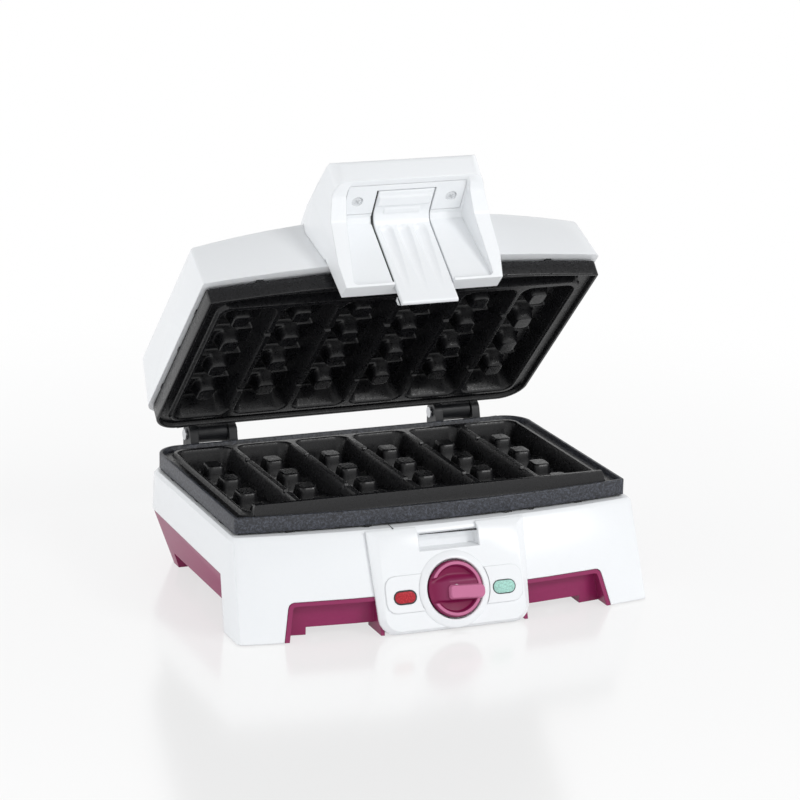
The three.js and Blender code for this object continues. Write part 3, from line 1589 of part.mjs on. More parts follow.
// Materials
const finish = (color, roughness, metalness = 0) => new THREE.MeshStandardMaterial({ color, roughness, metalness });
const whitePlastic = finish(0xf0f1f3, 0.3);
const purplePlastic = finish(0x9c3f6c, 0.4);
const nonStick = finish(0x333338, 0.5, 0.2);
const blackPlastic = finish(0x1c1c1e, 0.45);
const rubber = finish(0x2a2a2a, 0.85);
const steel = finish(0xb9bbbe, 0.35, 0.9);
const aluminium = finish(0xc9cbce, 0.4, 0.8);
const redLens = finish(0xc83237, 0.2);
const greenLens = finish(0x6ec8af, 0.2);
const ceramic = finish(0xe4dfd2, 0.6);

function piece(name, body, material) {
  const mesh = new THREE.Mesh(geometryOf(body), material);
  mesh.name = name;
  return mesh;
}

const raised = (body, height) => shifted(body, 0, 0, height);
const turnedOver = (body, height) => raised(place(body, new THREE.Matrix4().makeRotationY(Math.PI)), height);

const base = new THREE.Group();
base.add(
  piece("base_housing", baseHousing(), whitePlastic),
  piece("chassis", chassis(), purplePlastic),
  piece("control_panel", controlPanel(), whitePlastic),
  piece("lower_plate", raised(cookingPlate(true), partingHeight), nonStick),
  piece("lower_heating_element", raised(heatingElement(), partingHeight), steel),
  piece("lower_reflector", raised(reflectorTray(), partingHeight), aluminium),
  piece("thermostat", thermostat(), ceramic),
  piece("red_lamp_lens", lampLens(-1), redLens),
  piece("green_lamp_lens", lampLens(1), greenLens),
  piece("red_lamp_body", lampBody(-1), ceramic),
  piece("green_lamp_body", lampBody(1), ceramic),
  piece("cord_inlet", cordInlet(), blackPlastic),
  piece("terminal_block", terminalBlock(), ceramic),
  piece("left_hinge_bracket", hingeBracket(-1), blackPlastic),
  piece("right_hinge_bracket", hingeBracket(1), blackPlastic),
  piece("left_hinge_pin", hingePin(-1), steel),
  piece("right_hinge_pin", hingePin(1), steel),
);
Object.entries(padPlaces).forEach(([where, at]) => {
  base.add(piece(`foot_pad_${where}`, footPad(at), rubber));
});
bossPlaces.forEach((at, i) => {
  base.add(piece(`base_screw_${i + 1}`, baseScrew(at), steel));
});

const dial = new THREE.Group();
dial.add(piece("knob", knob(), purplePlastic), piece("thermostat_shaft", thermostatShaft(), steel));

const upperRim = partingHeight + partingGap;
const lid = new THREE.Group();
lid.add(
  piece("lid_shell", lidShell(), whitePlastic),
  piece("upper_plate", turnedOver(cookingPlate(false), upperRim), nonStick),
  piece("upper_heating_element", turnedOver(heatingElement(), upperRim), steel),
  piece("upper_reflector", turnedOver(reflectorTray(), upperRim), aluminium),
  piece("left_hinge_arm", hingeArm(-1), blackPlastic),
  piece("right_hinge_arm", hingeArm(1), blackPlastic),
  piece("handle", handle(), whitePlastic),
  piece("lever_cover", leverCover(), whitePlastic),
  piece("left_cover_screw", coverScrew(-1), steel),
  piece("right_cover_screw", coverScrew(1), steel),
  piece("lever_pin", leverPin(), steel),
  piece("lever_spring", leverSpring(), steel),
);

const latch = new THREE.Group();
latch.add(piece("release_lever", releaseLever(), whitePlastic));

// The lid and its latch turn open about the hinge axis.
const hinge = new THREE.Group();
hinge.position.set(0, hingeBack, hingeHeight);
hinge.rotation.x = -THREE.MathUtils.degToRad(lidOpening);
[lid, latch].forEach((group) => {
  group.position.set(0, -hingeBack, -hingeHeight);
  hinge.add(group);
});

const model = new THREE.Group();
model.add(base, dial, hinge);
const box = new THREE.Box3().setFromObject(model, true);
const middle = box.getCenter(new THREE.Vector3());
model.position.set(-middle.x, -middle.y, -box.min.z);

const waffleStickMaker = new THREE.Group();
waffleStickMaker.add(model);

export default waffleStickMaker;
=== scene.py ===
import json
import math

import bmesh
import bpy
import numpy as np
from mathutils import Matrix, Vector


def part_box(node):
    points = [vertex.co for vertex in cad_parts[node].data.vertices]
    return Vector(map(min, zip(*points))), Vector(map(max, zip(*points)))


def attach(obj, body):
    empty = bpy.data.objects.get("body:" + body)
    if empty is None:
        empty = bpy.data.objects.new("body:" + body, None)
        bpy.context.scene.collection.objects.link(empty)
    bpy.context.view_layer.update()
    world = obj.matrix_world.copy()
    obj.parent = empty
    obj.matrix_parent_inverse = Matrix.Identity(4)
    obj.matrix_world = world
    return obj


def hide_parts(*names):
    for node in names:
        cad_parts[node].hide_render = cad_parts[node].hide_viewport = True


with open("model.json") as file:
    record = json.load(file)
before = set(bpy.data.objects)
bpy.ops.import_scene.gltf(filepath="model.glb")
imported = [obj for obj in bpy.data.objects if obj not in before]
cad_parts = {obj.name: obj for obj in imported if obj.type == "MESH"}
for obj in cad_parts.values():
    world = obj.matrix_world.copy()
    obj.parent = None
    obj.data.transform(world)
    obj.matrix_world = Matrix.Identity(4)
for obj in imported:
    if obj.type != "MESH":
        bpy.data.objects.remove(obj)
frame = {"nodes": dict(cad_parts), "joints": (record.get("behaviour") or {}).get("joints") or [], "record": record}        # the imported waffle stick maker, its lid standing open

MM = 0.001
NODES = frame["nodes"]
RECORD = frame["record"]
JOINTS = {joint["name"]: joint for joint in frame["joints"]}
BODY_OF = {n: body for body, members in RECORD["behaviour"]["bodies"].items() for n in members}
SLOT_OF = {part["node"]: part["material_slot"] for part in RECORD["subparts"]}
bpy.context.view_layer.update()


def millimetres(length):
    """A length in the frame, rounded to the micrometre."""
    return round(length / MM, 3)


# The lower plate's box gives the plates' outer sizes, and how far their own origin stands behind
# the frame's
PLATE_LOW, PLATE_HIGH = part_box("lower_plate")
PLATE_BACK = 87.8
SHIFT = PLATE_HIGH.y / MM - PLATE_BACK
PLATE_HALF = millimetres(PLATE_HIGH.x)
PLATE_FRONT = millimetres(SHIFT * MM - PLATE_LOW.y)
DAM_HEIGHT = 6.2
PARTING = millimetres(PLATE_HIGH.z - DAM_HEIGHT * MM)
LID_OPENING = -JOINTS["lid_hinge"]["range_deg"][0]

# Other sizes in millimetres, as in the CAD part
PLATE_BOW = 930.0
PLATE_FRONT_RADIUS = 2.5
PLATE_BACK_RADIUS = 19.0
PARTING_GAP = 0.5
RIM_HEIGHT = 10.8
RIM_WIDTH = 2.5
CHANNEL_DEPTH = 3.0
LAND_DROP = 0.3
CAVITY_PITCH = 43.5
CAVITY_COUNT = 6
CAVITY_HALF = 20.0
CAVITY_FRONT = 73.0
CAVITY_BACK = 74.5
CAVITY_DEPTH = 17.0
CAVITY_DRAFT = 15.0
CAVITY_RADIUS = 8.0
PEG_COUNT = 4
PEG_PITCH = 33.2
PEG_HEIGHT = 12.5
SADDLE_HEIGHT = 4.0
DAM_HALF = 127.0
DAM_BACK = 78.0
DAM_TOP = 4.0
DAM_FOOT = 6.5
DAM_CLEARANCE = 0.9
PLATE_LUG_HEIGHT = 1.3


# Materials

def srgb(red, green, blue):
    """A colour given as screen values from 0 to 255, in linear light."""
    def linear(value):
        value /= 255
        return value / 12.92 if value <= 0.04045 else ((value + 0.055) / 1.055) ** 2.4
    return (linear(red), linear(green), linear(blue), 1.0)


class Finish:
    """A material with a Principled shader, and short calls for the nodes round it."""

    def __init__(self, name, colour, roughness):
        self.material = bpy.data.materials.new(name)
        self.material.use_nodes = True
        self.tree = self.material.node_tree
        self.shader = self.tree.nodes["Principled BSDF"]
        self.shader.inputs["Base Color"].default_value = colour
        self.shader.inputs["Roughness"].default_value = roughness
        self.place = self.tree.nodes.new("ShaderNodeTexCoord").outputs["Object"]
        self.normal = None

    def link(self, output, socket):
        self.tree.links.new(output, socket)

    def noise(self, size, detail=4.0, rough=0.5, stretch=None):
        """Noise with features of about size millimetres."""
        node = self.tree.nodes.new("ShaderNodeTexNoise")
        node.inputs["Scale"].default_value = 1 / (size * MM)
        node.inputs["Detail"].default_value = detail
        node.inputs["Roughness"].default_value = rough
        place = self.place
        if stretch:
            mapping = self.tree.nodes.new("ShaderNodeMapping")
            mapping.inputs["Scale"].default_value = stretch
            self.link(self.place, mapping.inputs["Vector"])
            place = mapping.outputs["Vector"]
        self.link(place, node.inputs["Vector"])
        return node.outputs["Fac"]

    def ranged(self, value, low, high, to_low, to_high):
        """The value mapped from one range to another."""
        node = self.tree.nodes.new("ShaderNodeMapRange")
        limits = {"From Min": low, "From Max": high, "To Min": to_low, "To Max": to_high}
        for name, number in limits.items():
            node.inputs[name].default_value = number
        self.link(value, node.inputs["Value"])
        return node.outputs["Result"]

    def mottled(self, value, low_colour, high_colour, low=0.35, high=0.65):
        """Base colour between two colours, by a value."""
        ramp = self.tree.nodes.new("ShaderNodeValToRGB")
        ramp.color_ramp.elements[0].position = low
        ramp.color_ramp.elements[0].color = low_colour
        ramp.color_ramp.elements[1].position = high
        ramp.color_ramp.elements[1].color = high_colour
        self.link(value, ramp.inputs["Fac"])
        self.link(ramp.outputs["Color"], self.shader.inputs["Base Color"])

    def banded(self, value, stops):
        """Base colour through several colours, each at its place between 0 and 1."""
        ramp = self.tree.nodes.new("ShaderNodeValToRGB")
        elements = ramp.color_ramp.elements
        while len(elements) < len(stops):
            elements.new(0.5)
        for element, (place, colour) in zip(elements, stops):
            element.position = place
            element.color = colour
        self.link(value, ramp.inputs["Fac"])
        self.link(ramp.outputs["Color"], self.shader.inputs["Base Color"])

    def over_plane(self, point, normal, reach):
        """0 on a plane that stays with the piece, 1 at reach millimetres over it."""
        node = self.tree.nodes.new("ShaderNodeVectorMath")
        node.operation = "DOT_PRODUCT"
        node.inputs[1].default_value = normal / MM
        self.link(self.place, node.inputs[0])
        foot = point.dot(normal)
        return self.ranged(node.outputs["Value"], foot, foot + reach, 0, 1)

    def roughness(self, value, low, high):
        """Roughness between two levels, by a noise value."""
        self.link(self.ranged(value, 0.3, 0.7, low, high), self.shader.inputs["Roughness"])

    def gloss(self, level):
        self.shader.inputs["Specular IOR Level"].default_value = level

    def soft_edges(self, radius):
        """Edges that catch the light as if rounded by radius millimetres."""
        node = self.tree.nodes.new("ShaderNodeBevel")
        node.samples = 6
        node.inputs["Radius"].default_value = radius * MM
        self.normal = node.outputs["Normal"]
        self.link(self.normal, self.shader.inputs["Normal"])

    def grain(self, value, depth, strength=1.0):
        """Bumps of about depth millimetres, over whatever bumps there are so far."""
        node = self.tree.nodes.new("ShaderNodeBump")
        node.inputs["Distance"].default_value = depth * MM
        node.inputs["Strength"].default_value = strength
        self.link(value, node.inputs["Height"])
        if self.normal:
            self.link(self.normal, node.inputs["Normal"])
        self.normal = node.outputs["Normal"]
        self.link(self.normal, self.shader.inputs["Normal"])


def shade(colour, factor):
    return tuple(channel * factor for channel in colour[:3]) + (1.0,)


def moulded_plastic(name, colour, roughness, edge, spread, level):
    """Glossy moulded plastic: even gloss, a tone that varies by a share of spread, very fine grain."""
    finish = Finish(name, colour, roughness)
    finish.gloss(level)
    finish.mottled(finish.noise(1.6, detail=6, rough=0.6), shade(colour, 1 - spread), colour)
    finish.soft_edges(edge)
    finish.grain(finish.noise(0.7, detail=4), 0.004, 0.1)
    return finish.material


def dial_plastic_painted_shading(name, hollow_shade, middle, high, roughness):
    """The dial's satin plastic with painted shading by height over the front: painted shade, darker, in
    its hollows, and a painted highlight, paler, on its ridges and pointer.
    """
    finish = Finish(name, middle, roughness)
    finish.gloss(0.25)
    plane = front_matrix(0, KNOB_DROP)
    normal = plane.to_3x3() @ Vector((0, 0, 1))
    over = finish.over_plane(plane.translation + normal * KNOB_FOOT, normal, 10.0)
    finish.banded(over, [(0.2, hollow_shade), (0.36, hollow_shade), (0.46, middle), (0.54, middle), (0.6, high)])
    finish.roughness(finish.noise(1.4, detail=5), roughness - 0.03, roughness + 0.04)
    finish.soft_edges(0.5)
    finish.grain(finish.noise(0.6, detail=5), 0.012, 0.3)
    return finish.material


def coated_casting(name, colour, roughness, level, fleck_and_sparkle, size):
    """Sprayed non-stick coat on a casting: orange peel, fine grit, and lighter flecks of about size
    millimetres, brighter than the coat by the given factor; the flecks are partly the coat's own speckle
    and partly painted sparkle highlights."""
    finish = Finish(name, colour, roughness)
    finish.gloss(level)
    # Flecks in the base colour: partly the coat's own speckle, partly painted sparkle highlights
    flecks_and_sparkle = finish.noise(size, detail=8, rough=0.8)
    finish.mottled(flecks_and_sparkle, shade(colour, 0.7), shade(colour, fleck_and_sparkle), 0.46, 0.7)
    finish.roughness(finish.noise(2.2, detail=6), roughness - 0.08, roughness + 0.1)
    finish.soft_edges(0.4)
    finish.grain(finish.noise(0.6, detail=6, rough=0.7), 0.06, 0.6)
    finish.grain(finish.noise(2.2, detail=3), 0.08, 0.35)
    return finish.material


def lamp_plastic(name, colour, glow):
    """Translucent lamp lens: a lighter, faintly mottled middle under a clear gloss."""
    finish = Finish(name, colour, 0.22)
    finish.gloss(0.18)
    cloud = finish.noise(1.1, detail=6, rough=0.65)
    finish.mottled(cloud, shade(colour, 0.72), shade(colour, glow), 0.38, 0.66)
    finish.shader.inputs["Subsurface Weight"].default_value = 0.1
    finish.shader.inputs["Subsurface Radius"].default_value = (0.002, 0.002, 0.002)
    finish.grain(finish.noise(0.7, detail=4), 0.03, 0.4)
    return finish.material


def metal(name, colour, roughness, metallic=1.0):
    """Bright metal with fine drawn lines."""
    finish = Finish(name, colour, roughness)
    finish.shader.inputs["Metallic"].default_value = metallic
    lines = finish.noise(1.2, detail=5, stretch=(1, 8, 8))
    finish.mottled(lines, shade(colour, 0.82), colour)
    finish.roughness(finish.noise(3, detail=4), roughness - 0.06, roughness + 0.1)
    finish.soft_edges(0.2)
    finish.grain(lines, 0.02, 0.3)
    return finish.material


def matt_moulding(name, colour, roughness, size=1.0):
    """Matt plastic, ceramic or rubber with a spark-eroded grain."""
    finish = Finish(name, colour, roughness)
    grit = finish.noise(size, detail=7, rough=0.7)
    finish.mottled(grit, shade(colour, 0.8), shade(colour, 1.15))
    finish.roughness(finish.noise(5, detail=4), roughness - 0.06, roughness + 0.08)
    finish.soft_edges(0.4)
    finish.grain(grit, 0.05, 0.4)
    return finish.material


# Places on the sloped front, which the dial's painted shading needs too

FRONT_LEAN = 20.0
HOUSING_FRONT = 104.7
DECK = PARTING - RIM_HEIGHT - PLATE_LUG_HEIGHT
KNOB_RADIUS = millimetres(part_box("knob")[1].x)
KNOB_FOOT = 2.5
KNOB_DROP = 43.35
LAMP_SPREAD = 35.5
LAMP_DROP = 45.5


def front_matrix(right, down):
    """On the housing's sloped front: x right, y up the slope, z out of it."""
    edge = Matrix.Translation((0, SHIFT - HOUSING_FRONT, DECK))
    slope = Matrix.Rotation(math.radians(90 - FRONT_LEAN), 4, "X")
    return edge @ slope @ Matrix.Translation((right, -down, 0))


MATERIALS = {
    "white_plastic": moulded_plastic("white_plastic", srgb(243, 245, 247), 0.27, 1.0, 0.008, 0.5),
    "purple_plastic": moulded_plastic("purple_plastic", srgb(144, 38, 90), 0.36, 0.6, 0.05, 0.35),
    "non_stick": coated_casting("non_stick", srgb(20, 20, 22), 0.3, 0.38, 3.0, 0.8),
    "black_plastic": matt_moulding("black_plastic", srgb(30, 31, 34), 0.45),
    "rubber": matt_moulding("rubber", srgb(44, 44, 44), 0.8, 1.6),
    "steel": metal("steel", srgb(205, 207, 210), 0.28),
    "aluminium": metal("aluminium", srgb(214, 216, 218), 0.36),
    "red_lens": lamp_plastic("red_lens", srgb(186, 50, 60), 1.25),
    "green_lens": lamp_plastic("green_lens", srgb(178, 226, 214), 1.12),
    "ceramic": matt_moulding("ceramic", srgb(228, 223, 210), 0.6, 2.0),
}
# The dial's colours: painted shade for the hollows, the plastic's own purple, and a painted highlight
# for the ridges and pointer
DIAL_SHADE_AND_LIGHT_COLOURS = [srgb(124, 12, 68), srgb(132, 42, 84), srgb(200, 116, 154)]
DIAL_PAINTED_SHADING = dial_plastic_painted_shading("dial_plastic_painted_shading", *DIAL_SHADE_AND_LIGHT_COLOURS, 0.36)
SCREW_FINISH = metal("screw_zinc", srgb(232, 234, 236), 0.38, 0.35)
# A paler copy of the coat with brighter flecks, on the lower plate's rim only: partly the rim's own
# look, partly painted sheen
RIM_COAT_PAINTED_SHEEN = coated_casting("rim_coat_painted_sheen", srgb(38, 40, 46), 0.42, 0.5, 6.0, 1.5)


# Meshes and pieces

def mesh_of(name, points, faces, scale=MM):
    """A mesh from points in millimetres, or in metres with a scale of 1."""
    mesh = bpy.data.meshes.new(name)
    mesh.from_pydata([tuple(scale * c for c in p) for p in points], [], faces)
    mesh.validate()
    return mesh


# CAD nodes that have a finished piece in their place
REPLACED = set()


def add_piece(name, mesh, slot, body, replaced=(), smooth=35.0, finish=None):
    """Puts a mesh in the scene on its body, and notes the CAD nodes it stands for."""
    mesh.materials.clear()
    mesh.materials.append(finish or MATERIALS[slot])
    mesh.shade_smooth()
    mesh.set_sharp_from_angle(angle=math.radians(smooth))
    piece = bpy.data.objects.new(name, mesh)
    bpy.context.scene.collection.objects.link(piece)
    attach(piece, body)
    if replaced:
        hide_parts(*replaced)
        REPLACED.update(replaced)


def band_faces(rings, count, flip=False):
    """Faces between each ring of count points and the next, turned the other way by flip."""
    faces = []
    for i in range(rings - 1):
        low, high = i * count, (i + 1) * count
        for j in range(count):
            a, b = j, (j + 1) % count
            if flip:
                a, b = b, a
            faces.append((low + a, low + b, high + b, high + a))
    return faces


def lathe(name, profile, matrix, spokes=160):
    """A profile of (radius, height) turned round its z axis."""
    angles = np.linspace(0, 2 * math.pi, spokes, endpoint=False).tolist()
    points = [matrix @ Vector((r * math.cos(a), r * math.sin(a), z)) for r, z in profile for a in angles]
    return mesh_of(name, [tuple(p) for p in points], band_faces(len(profile), spokes))


def prism(name, outline, low, high, matrix):
    """A flat outline, counterclockwise, drawn out along its own z axis."""
    count = len(outline)
    points = [matrix @ Vector((x, y, z)) for z in (low, high) for x, y in outline]
    faces = [tuple(reversed(range(count))), tuple(range(count, 2 * count))]
    faces += [(i, (i + 1) % count, (i + 1) % count + count, i + count) for i in range(count)]
    return mesh_of(name, [tuple(p) for p in points], faces)


def axes_matrix(x, y, z, origin):
    return Matrix((
        (x.x, y.x, z.x, origin.x),
        (x.y, y.y, z.y, origin.y),
        (x.z, y.z, z.z, origin.z),
        (0, 0, 0, 1),
    ))


def cleaned(node, keep=None):
    """The CAD node's faces as a new mesh: shared corners merged and flat facets joined into one."""
    shape = bmesh.new()
    shape.from_mesh(NODES[node].data)
    bmesh.ops.remove_doubles(shape, verts=shape.verts, dist=0.004 * MM)
    if keep:
        away = [f for f in shape.faces if not keep(f)]
        bmesh.ops.delete(shape, geom=away, context="FACES")
    bmesh.ops.dissolve_limit(
        shape, angle_limit=math.radians(0.6), verts=shape.verts, edges=shape.edges, delimit=set()
    )
    shape.verts.index_update()
    points = [tuple(v.co) for v in shape.verts]
    faces = [[v.index for v in f.verts] for f in shape.faces]
    shape.free()
    return mesh_of(node + "_finished", points, faces, 1.0)


def dress(node):
    """A finished copy of a CAD node in its place."""
    add_piece(node + "_finished", cleaned(node), SLOT_OF[node], BODY_OF[node], [node])


# Smooth shapes as heights over a plane

def smooth_max(a, b, width):
    """The larger of two heights, with the crease between them rounded over a width."""
    share = np.clip(0.5 + 0.5 * (a - b) / width, 0, 1)
    return b + (a - b) * share + width * share * (1 - share)


def smooth_min(a, b, width):
    return -smooth_max(-a, -b, width)


def rounded_box(x, y, half_x, half_y, radius):
    """Distance from a rounded rectangle's outline, negative inside."""
    over_x = np.abs(x) - half_x + radius
    over_y = np.abs(y) - half_y + radius
    outside = np.hypot(np.maximum(over_x, 0), np.maximum(over_y, 0))
    return outside + np.minimum(np.maximum(over_x, over_y), 0) - radius


CAVITY_MIDDLE = (CAVITY_BACK - CAVITY_FRONT) / 2
PEG_PLACES = [CAVITY_MIDDLE + (i - (PEG_COUNT - 1) / 2) * PEG_PITCH for i in range(PEG_COUNT)]
CAVITY_SPAN = CAVITY_COUNT * CAVITY_PITCH


def plate_front(x):
    """Where the plate's bowed front edge lies."""
    return -PLATE_FRONT + x * x / (2 * PLATE_BOW)


def plate_inset(x, y):
    """Distance in from the plate's outer edge."""
    sides = -rounded_box(x, y + PLATE_HALF - PLATE_BACK, PLATE_HALF, PLATE_HALF, PLATE_BACK_RADIUS)
    return np.minimum(sides, y - plate_front(x))


# Fine forms of the cooking side: fillets, rounded edges, and slopes as rise over run
CAVITY_FILLET = 4.0
CAVITY_EDGE_ROUND = 0.9
PEG_TOP_HALF_WIDTH = 5.6
PEG_TOP_HALF_LENGTH = 6.4
PEG_CORNER = 3.0
PEG_SLOPE = 3.6
PEG_SIDE_RISE = 1.2
PEG_ROUND = 2.6
PEG_FILLET = 2.0
SADDLE_HALF = 9.2
SADDLE_SLOPE = 2.4
SADDLE_FILLET = 1.2
LAND_MARGIN = 4.0
LAND_CORNER = 9.0
LAND_SLOPE = 2.2
LAND_ROUND = 0.5
NOTCH_SPREAD = 38.0
NOTCH_DEPTH = 1.9
NOTCH_HALF = 1.8
NOTCH_SLOPE = 3.0
NOTCH_ROUND = 0.4
DAM_BACK_SLOPE = 9.0
DAM_END_SLOPE = 4.0
DAM_ROUND = 0.8
DAM_TOP_ROUND = 1.0
DAM_FILLET = 0.5
GROOVE_AHEAD = 0.4
GROOVE_CORNER = 1.5
GROOVE_FLOOR = 0.8
GROOVE_SLOPE = 7.0
GROOVE_ROUND = 0.7


def across_cell(x):
    """Across, from the middle of the nearest cavity; outside the end ones it goes on growing."""
    in_cell = (x + CAVITY_SPAN / 2) % CAVITY_PITCH - CAVITY_PITCH / 2
    beyond = np.abs(x) > CAVITY_SPAN / 2
    return np.where(beyond, CAVITY_PITCH / 2 + np.abs(x) - CAVITY_SPAN / 2, in_cell)


def cavity_height(in_cell, y):
    """A cavity's sloped walls and floor, its saddles, and the pegs that stand on them."""
    half_length = (CAVITY_FRONT + CAVITY_BACK) / 2
    inside = -rounded_box(in_cell, y - CAVITY_MIDDLE, CAVITY_HALF, half_length, CAVITY_RADIUS)
    wall = -inside / math.tan(math.radians(CAVITY_DRAFT))
    floor = smooth_max(wall, np.full_like(in_cell, -CAVITY_DEPTH), CAVITY_FILLET)
    for place in PEG_PLACES:
        away = np.maximum(np.abs(y - place) - SADDLE_HALF, 0)
        saddle = -CAVITY_DEPTH + SADDLE_HEIGHT - away * SADDLE_SLOPE
        floor = smooth_max(floor, saddle, SADDLE_FILLET)
    for place in PEG_PLACES:
        out = rounded_box(in_cell, y - place, PEG_TOP_HALF_WIDTH, PEG_TOP_HALF_LENGTH, PEG_CORNER)
        side = -CAVITY_DEPTH + PEG_HEIGHT + PEG_SIDE_RISE - out * PEG_SLOPE
        top = np.full_like(in_cell, -CAVITY_DEPTH + PEG_HEIGHT)
        floor = smooth_max(floor, smooth_min(side, top, PEG_ROUND), PEG_FILLET)
    return floor


def land_height(x, y, in_cell):
    """The land round the cavities, the crests between them with two notches each, and the channel."""
    land_half = CAVITY_SPAN / 2 + RIM_WIDTH / 2
    land_middle = (CAVITY_BACK + LAND_MARGIN - DAM_BACK) / 2
    land_reach = (CAVITY_BACK + LAND_MARGIN + DAM_BACK) / 2
    land_edge = rounded_box(x, y - land_middle, land_half, land_reach, LAND_CORNER)
    side = -CHANNEL_DEPTH - land_edge * LAND_SLOPE
    ground = smooth_min(side, np.full_like(x, -LAND_DROP), LAND_ROUND)
    ground = smooth_max(ground, np.full_like(x, -CHANNEL_DEPTH), LAND_ROUND)
    crest = (np.abs(in_cell) > CAVITY_HALF - 1) & (np.abs(x) < CAVITY_SPAN / 2 - CAVITY_HALF)
    for end in (-1, 1):
        away = np.abs(y - CAVITY_MIDDLE - end * NOTCH_SPREAD)
        notch = -NOTCH_DEPTH + np.maximum(away - NOTCH_HALF, 0) * NOTCH_SLOPE
        ground = np.where(crest, smooth_min(ground, notch, NOTCH_ROUND), ground)
    return ground


def dam_height(x, y):
    """The bar in front of the lower plate's cavities."""
    front = (y + DAM_BACK + DAM_FOOT) * (DAM_HEIGHT + CHANNEL_DEPTH) / (DAM_FOOT - DAM_TOP)
    back = (-DAM_BACK - y) * DAM_BACK_SLOPE
    ends = (DAM_HALF + 1 - np.abs(x)) * DAM_END_SLOPE
    bar = smooth_min(smooth_min(front, back, DAM_ROUND), ends, DAM_ROUND) - CHANNEL_DEPTH
    return smooth_min(bar, np.full_like(x, DAM_HEIGHT), DAM_TOP_ROUND)


def groove_height(x, y):
    """The groove in the upper plate that the dam goes into."""
    middle = -DAM_BACK - DAM_FOOT / 2 + GROOVE_AHEAD
    half = DAM_FOOT / 2 + DAM_CLEARANCE
    away = rounded_box(x, y - middle, DAM_HALF + DAM_CLEARANCE, half, GROOVE_CORNER)
    return -DAM_HEIGHT - DAM_CLEARANCE + np.maximum(away + GROOVE_FLOOR, 0) * GROOVE_SLOPE


def cooking_surface(x, y, has_dam):
    """Height of the cooking side over the rim plane, for a plate that lies rim up."""
    in_cell = across_cell(x)
    land = land_height(x, y, in_cell)
    surface = smooth_min(cavity_height(in_cell, y), land, CAVITY_EDGE_ROUND)
    if has_dam:
        return smooth_max(surface, dam_height(x, y), DAM_FILLET)
    return smooth_min(surface, groove_height(x, y), GROOVE_ROUND)


def grid_mesh(xs, ys, heights, kept):
    """Points and faces of a height field, with only the points that are kept."""
    index = np.full(kept.shape, -1)
    index[kept] = np.arange(kept.sum())
    px, py = np.meshgrid(xs, ys, indexing="ij")
    points = np.stack([px[kept], py[kept], heights[kept]], axis=1)
    a, b = index[:-1, :-1], index[1:, :-1]
    c, d = index[1:, 1:], index[:-1, 1:]
    whole = (a >= 0) & (b >= 0) & (c >= 0) & (d >= 0)
    faces = np.stack([a[whole], b[whole], c[whole], d[whole]], axis=1)
    return points, faces


def plate_outline(inset, bow_steps=48, corner_steps=12):
    """The plate's outline drawn in by inset, as points from the front left, counterclockwise."""
    half = PLATE_HALF - inset
    front_radius = max(PLATE_FRONT_RADIUS - inset, 0.8)
    back_radius = PLATE_BACK_RADIUS - inset
    reach = half - front_radius
    points = []
    for i in range(bow_steps + 1):
        x = reach * (2 * i / bow_steps - 1)
        points.append((x, plate_front(x) + inset))
    corner_y = plate_front(reach) + inset + front_radius
    back = PLATE_BACK - inset
    arcs = [
        (reach, corner_y, front_radius, -90),
        (half - back_radius, back - back_radius, back_radius, 0),
        (back_radius - half, back - back_radius, back_radius, 90),
        (-reach, corner_y, front_radius, 180),
    ]
    for x, y, radius, start in arcs:
        for k in range(1, corner_steps):
            angle = math.radians(start + 90 * k / corner_steps)
            points.append((x + radius * math.cos(angle), y + radius * math.sin(angle)))
    return points


# The rim, from its foot outside, over the top, and down to the channel: (inset, height)
RIM_PROFILE = [
    (RIM_WIDTH, -6.0), (RIM_WIDTH, -RIM_HEIGHT), (0.5, -RIM_HEIGHT), (0.12, -RIM_HEIGHT + 0.15),
    (0, -RIM_HEIGHT + 0.6), (0, -0.8), (0.1, -0.35), (0.35, -0.1), (0.7, 0), (RIM_WIDTH - 0.7, 0),
    (RIM_WIDTH - 0.3, -0.12), (RIM_WIDTH - 0.05, -0.45), (RIM_WIDTH + 0.2, -CHANNEL_DEPTH + 0.5),
    (RIM_WIDTH + 0.5, -CHANNEL_DEPTH + 0.1), (RIM_WIDTH + 0.9, -CHANNEL_DEPTH + 0.02),
    (RIM_WIDTH + 2.2, -CHANNEL_DEPTH + 0.02),
]


def rim_mesh():
    rings = [[(x, y, z) for x, y in plate_outline(inset)] for inset, z in RIM_PROFILE]
    points = [p for ring in rings for p in ring]
    return np.array(points), band_faces(len(rings), len(rings[0]))


def plate_matrix(upper):
    """From the plate's own millimetres, rim up, to its place in the frame."""
    move = Matrix.Translation((0, SHIFT, 0))
    if not upper:
        return move @ Matrix.Translation((0, 0, PARTING))
    closed = Matrix.Translation((0, 0, PARTING + PARTING_GAP)) @ Matrix.Rotation(math.pi, 4, "Y")
    return lid_matrix() @ move @ closed


def lid_matrix():
    """From the closed lid to the open one, in the frame's millimetres."""
    hinge = Vector(JOINTS["lid_hinge"]["pos_m"]) / MM
    turn = Matrix.Rotation(math.radians(-LID_OPENING), 4, "X")
    return Matrix.Translation(hinge) @ turn @ Matrix.Translation(-hinge)


# The cooking side's height field: its step, how far it stays in from the plate's box and from the
# rim's foot, and half the width of the CAD casting's pan under it
FIELD_STEP = 0.55
FIELD_INSET = 3.0
FIELD_FROM_RIM = 1.2
PAN_HALF = 132.0


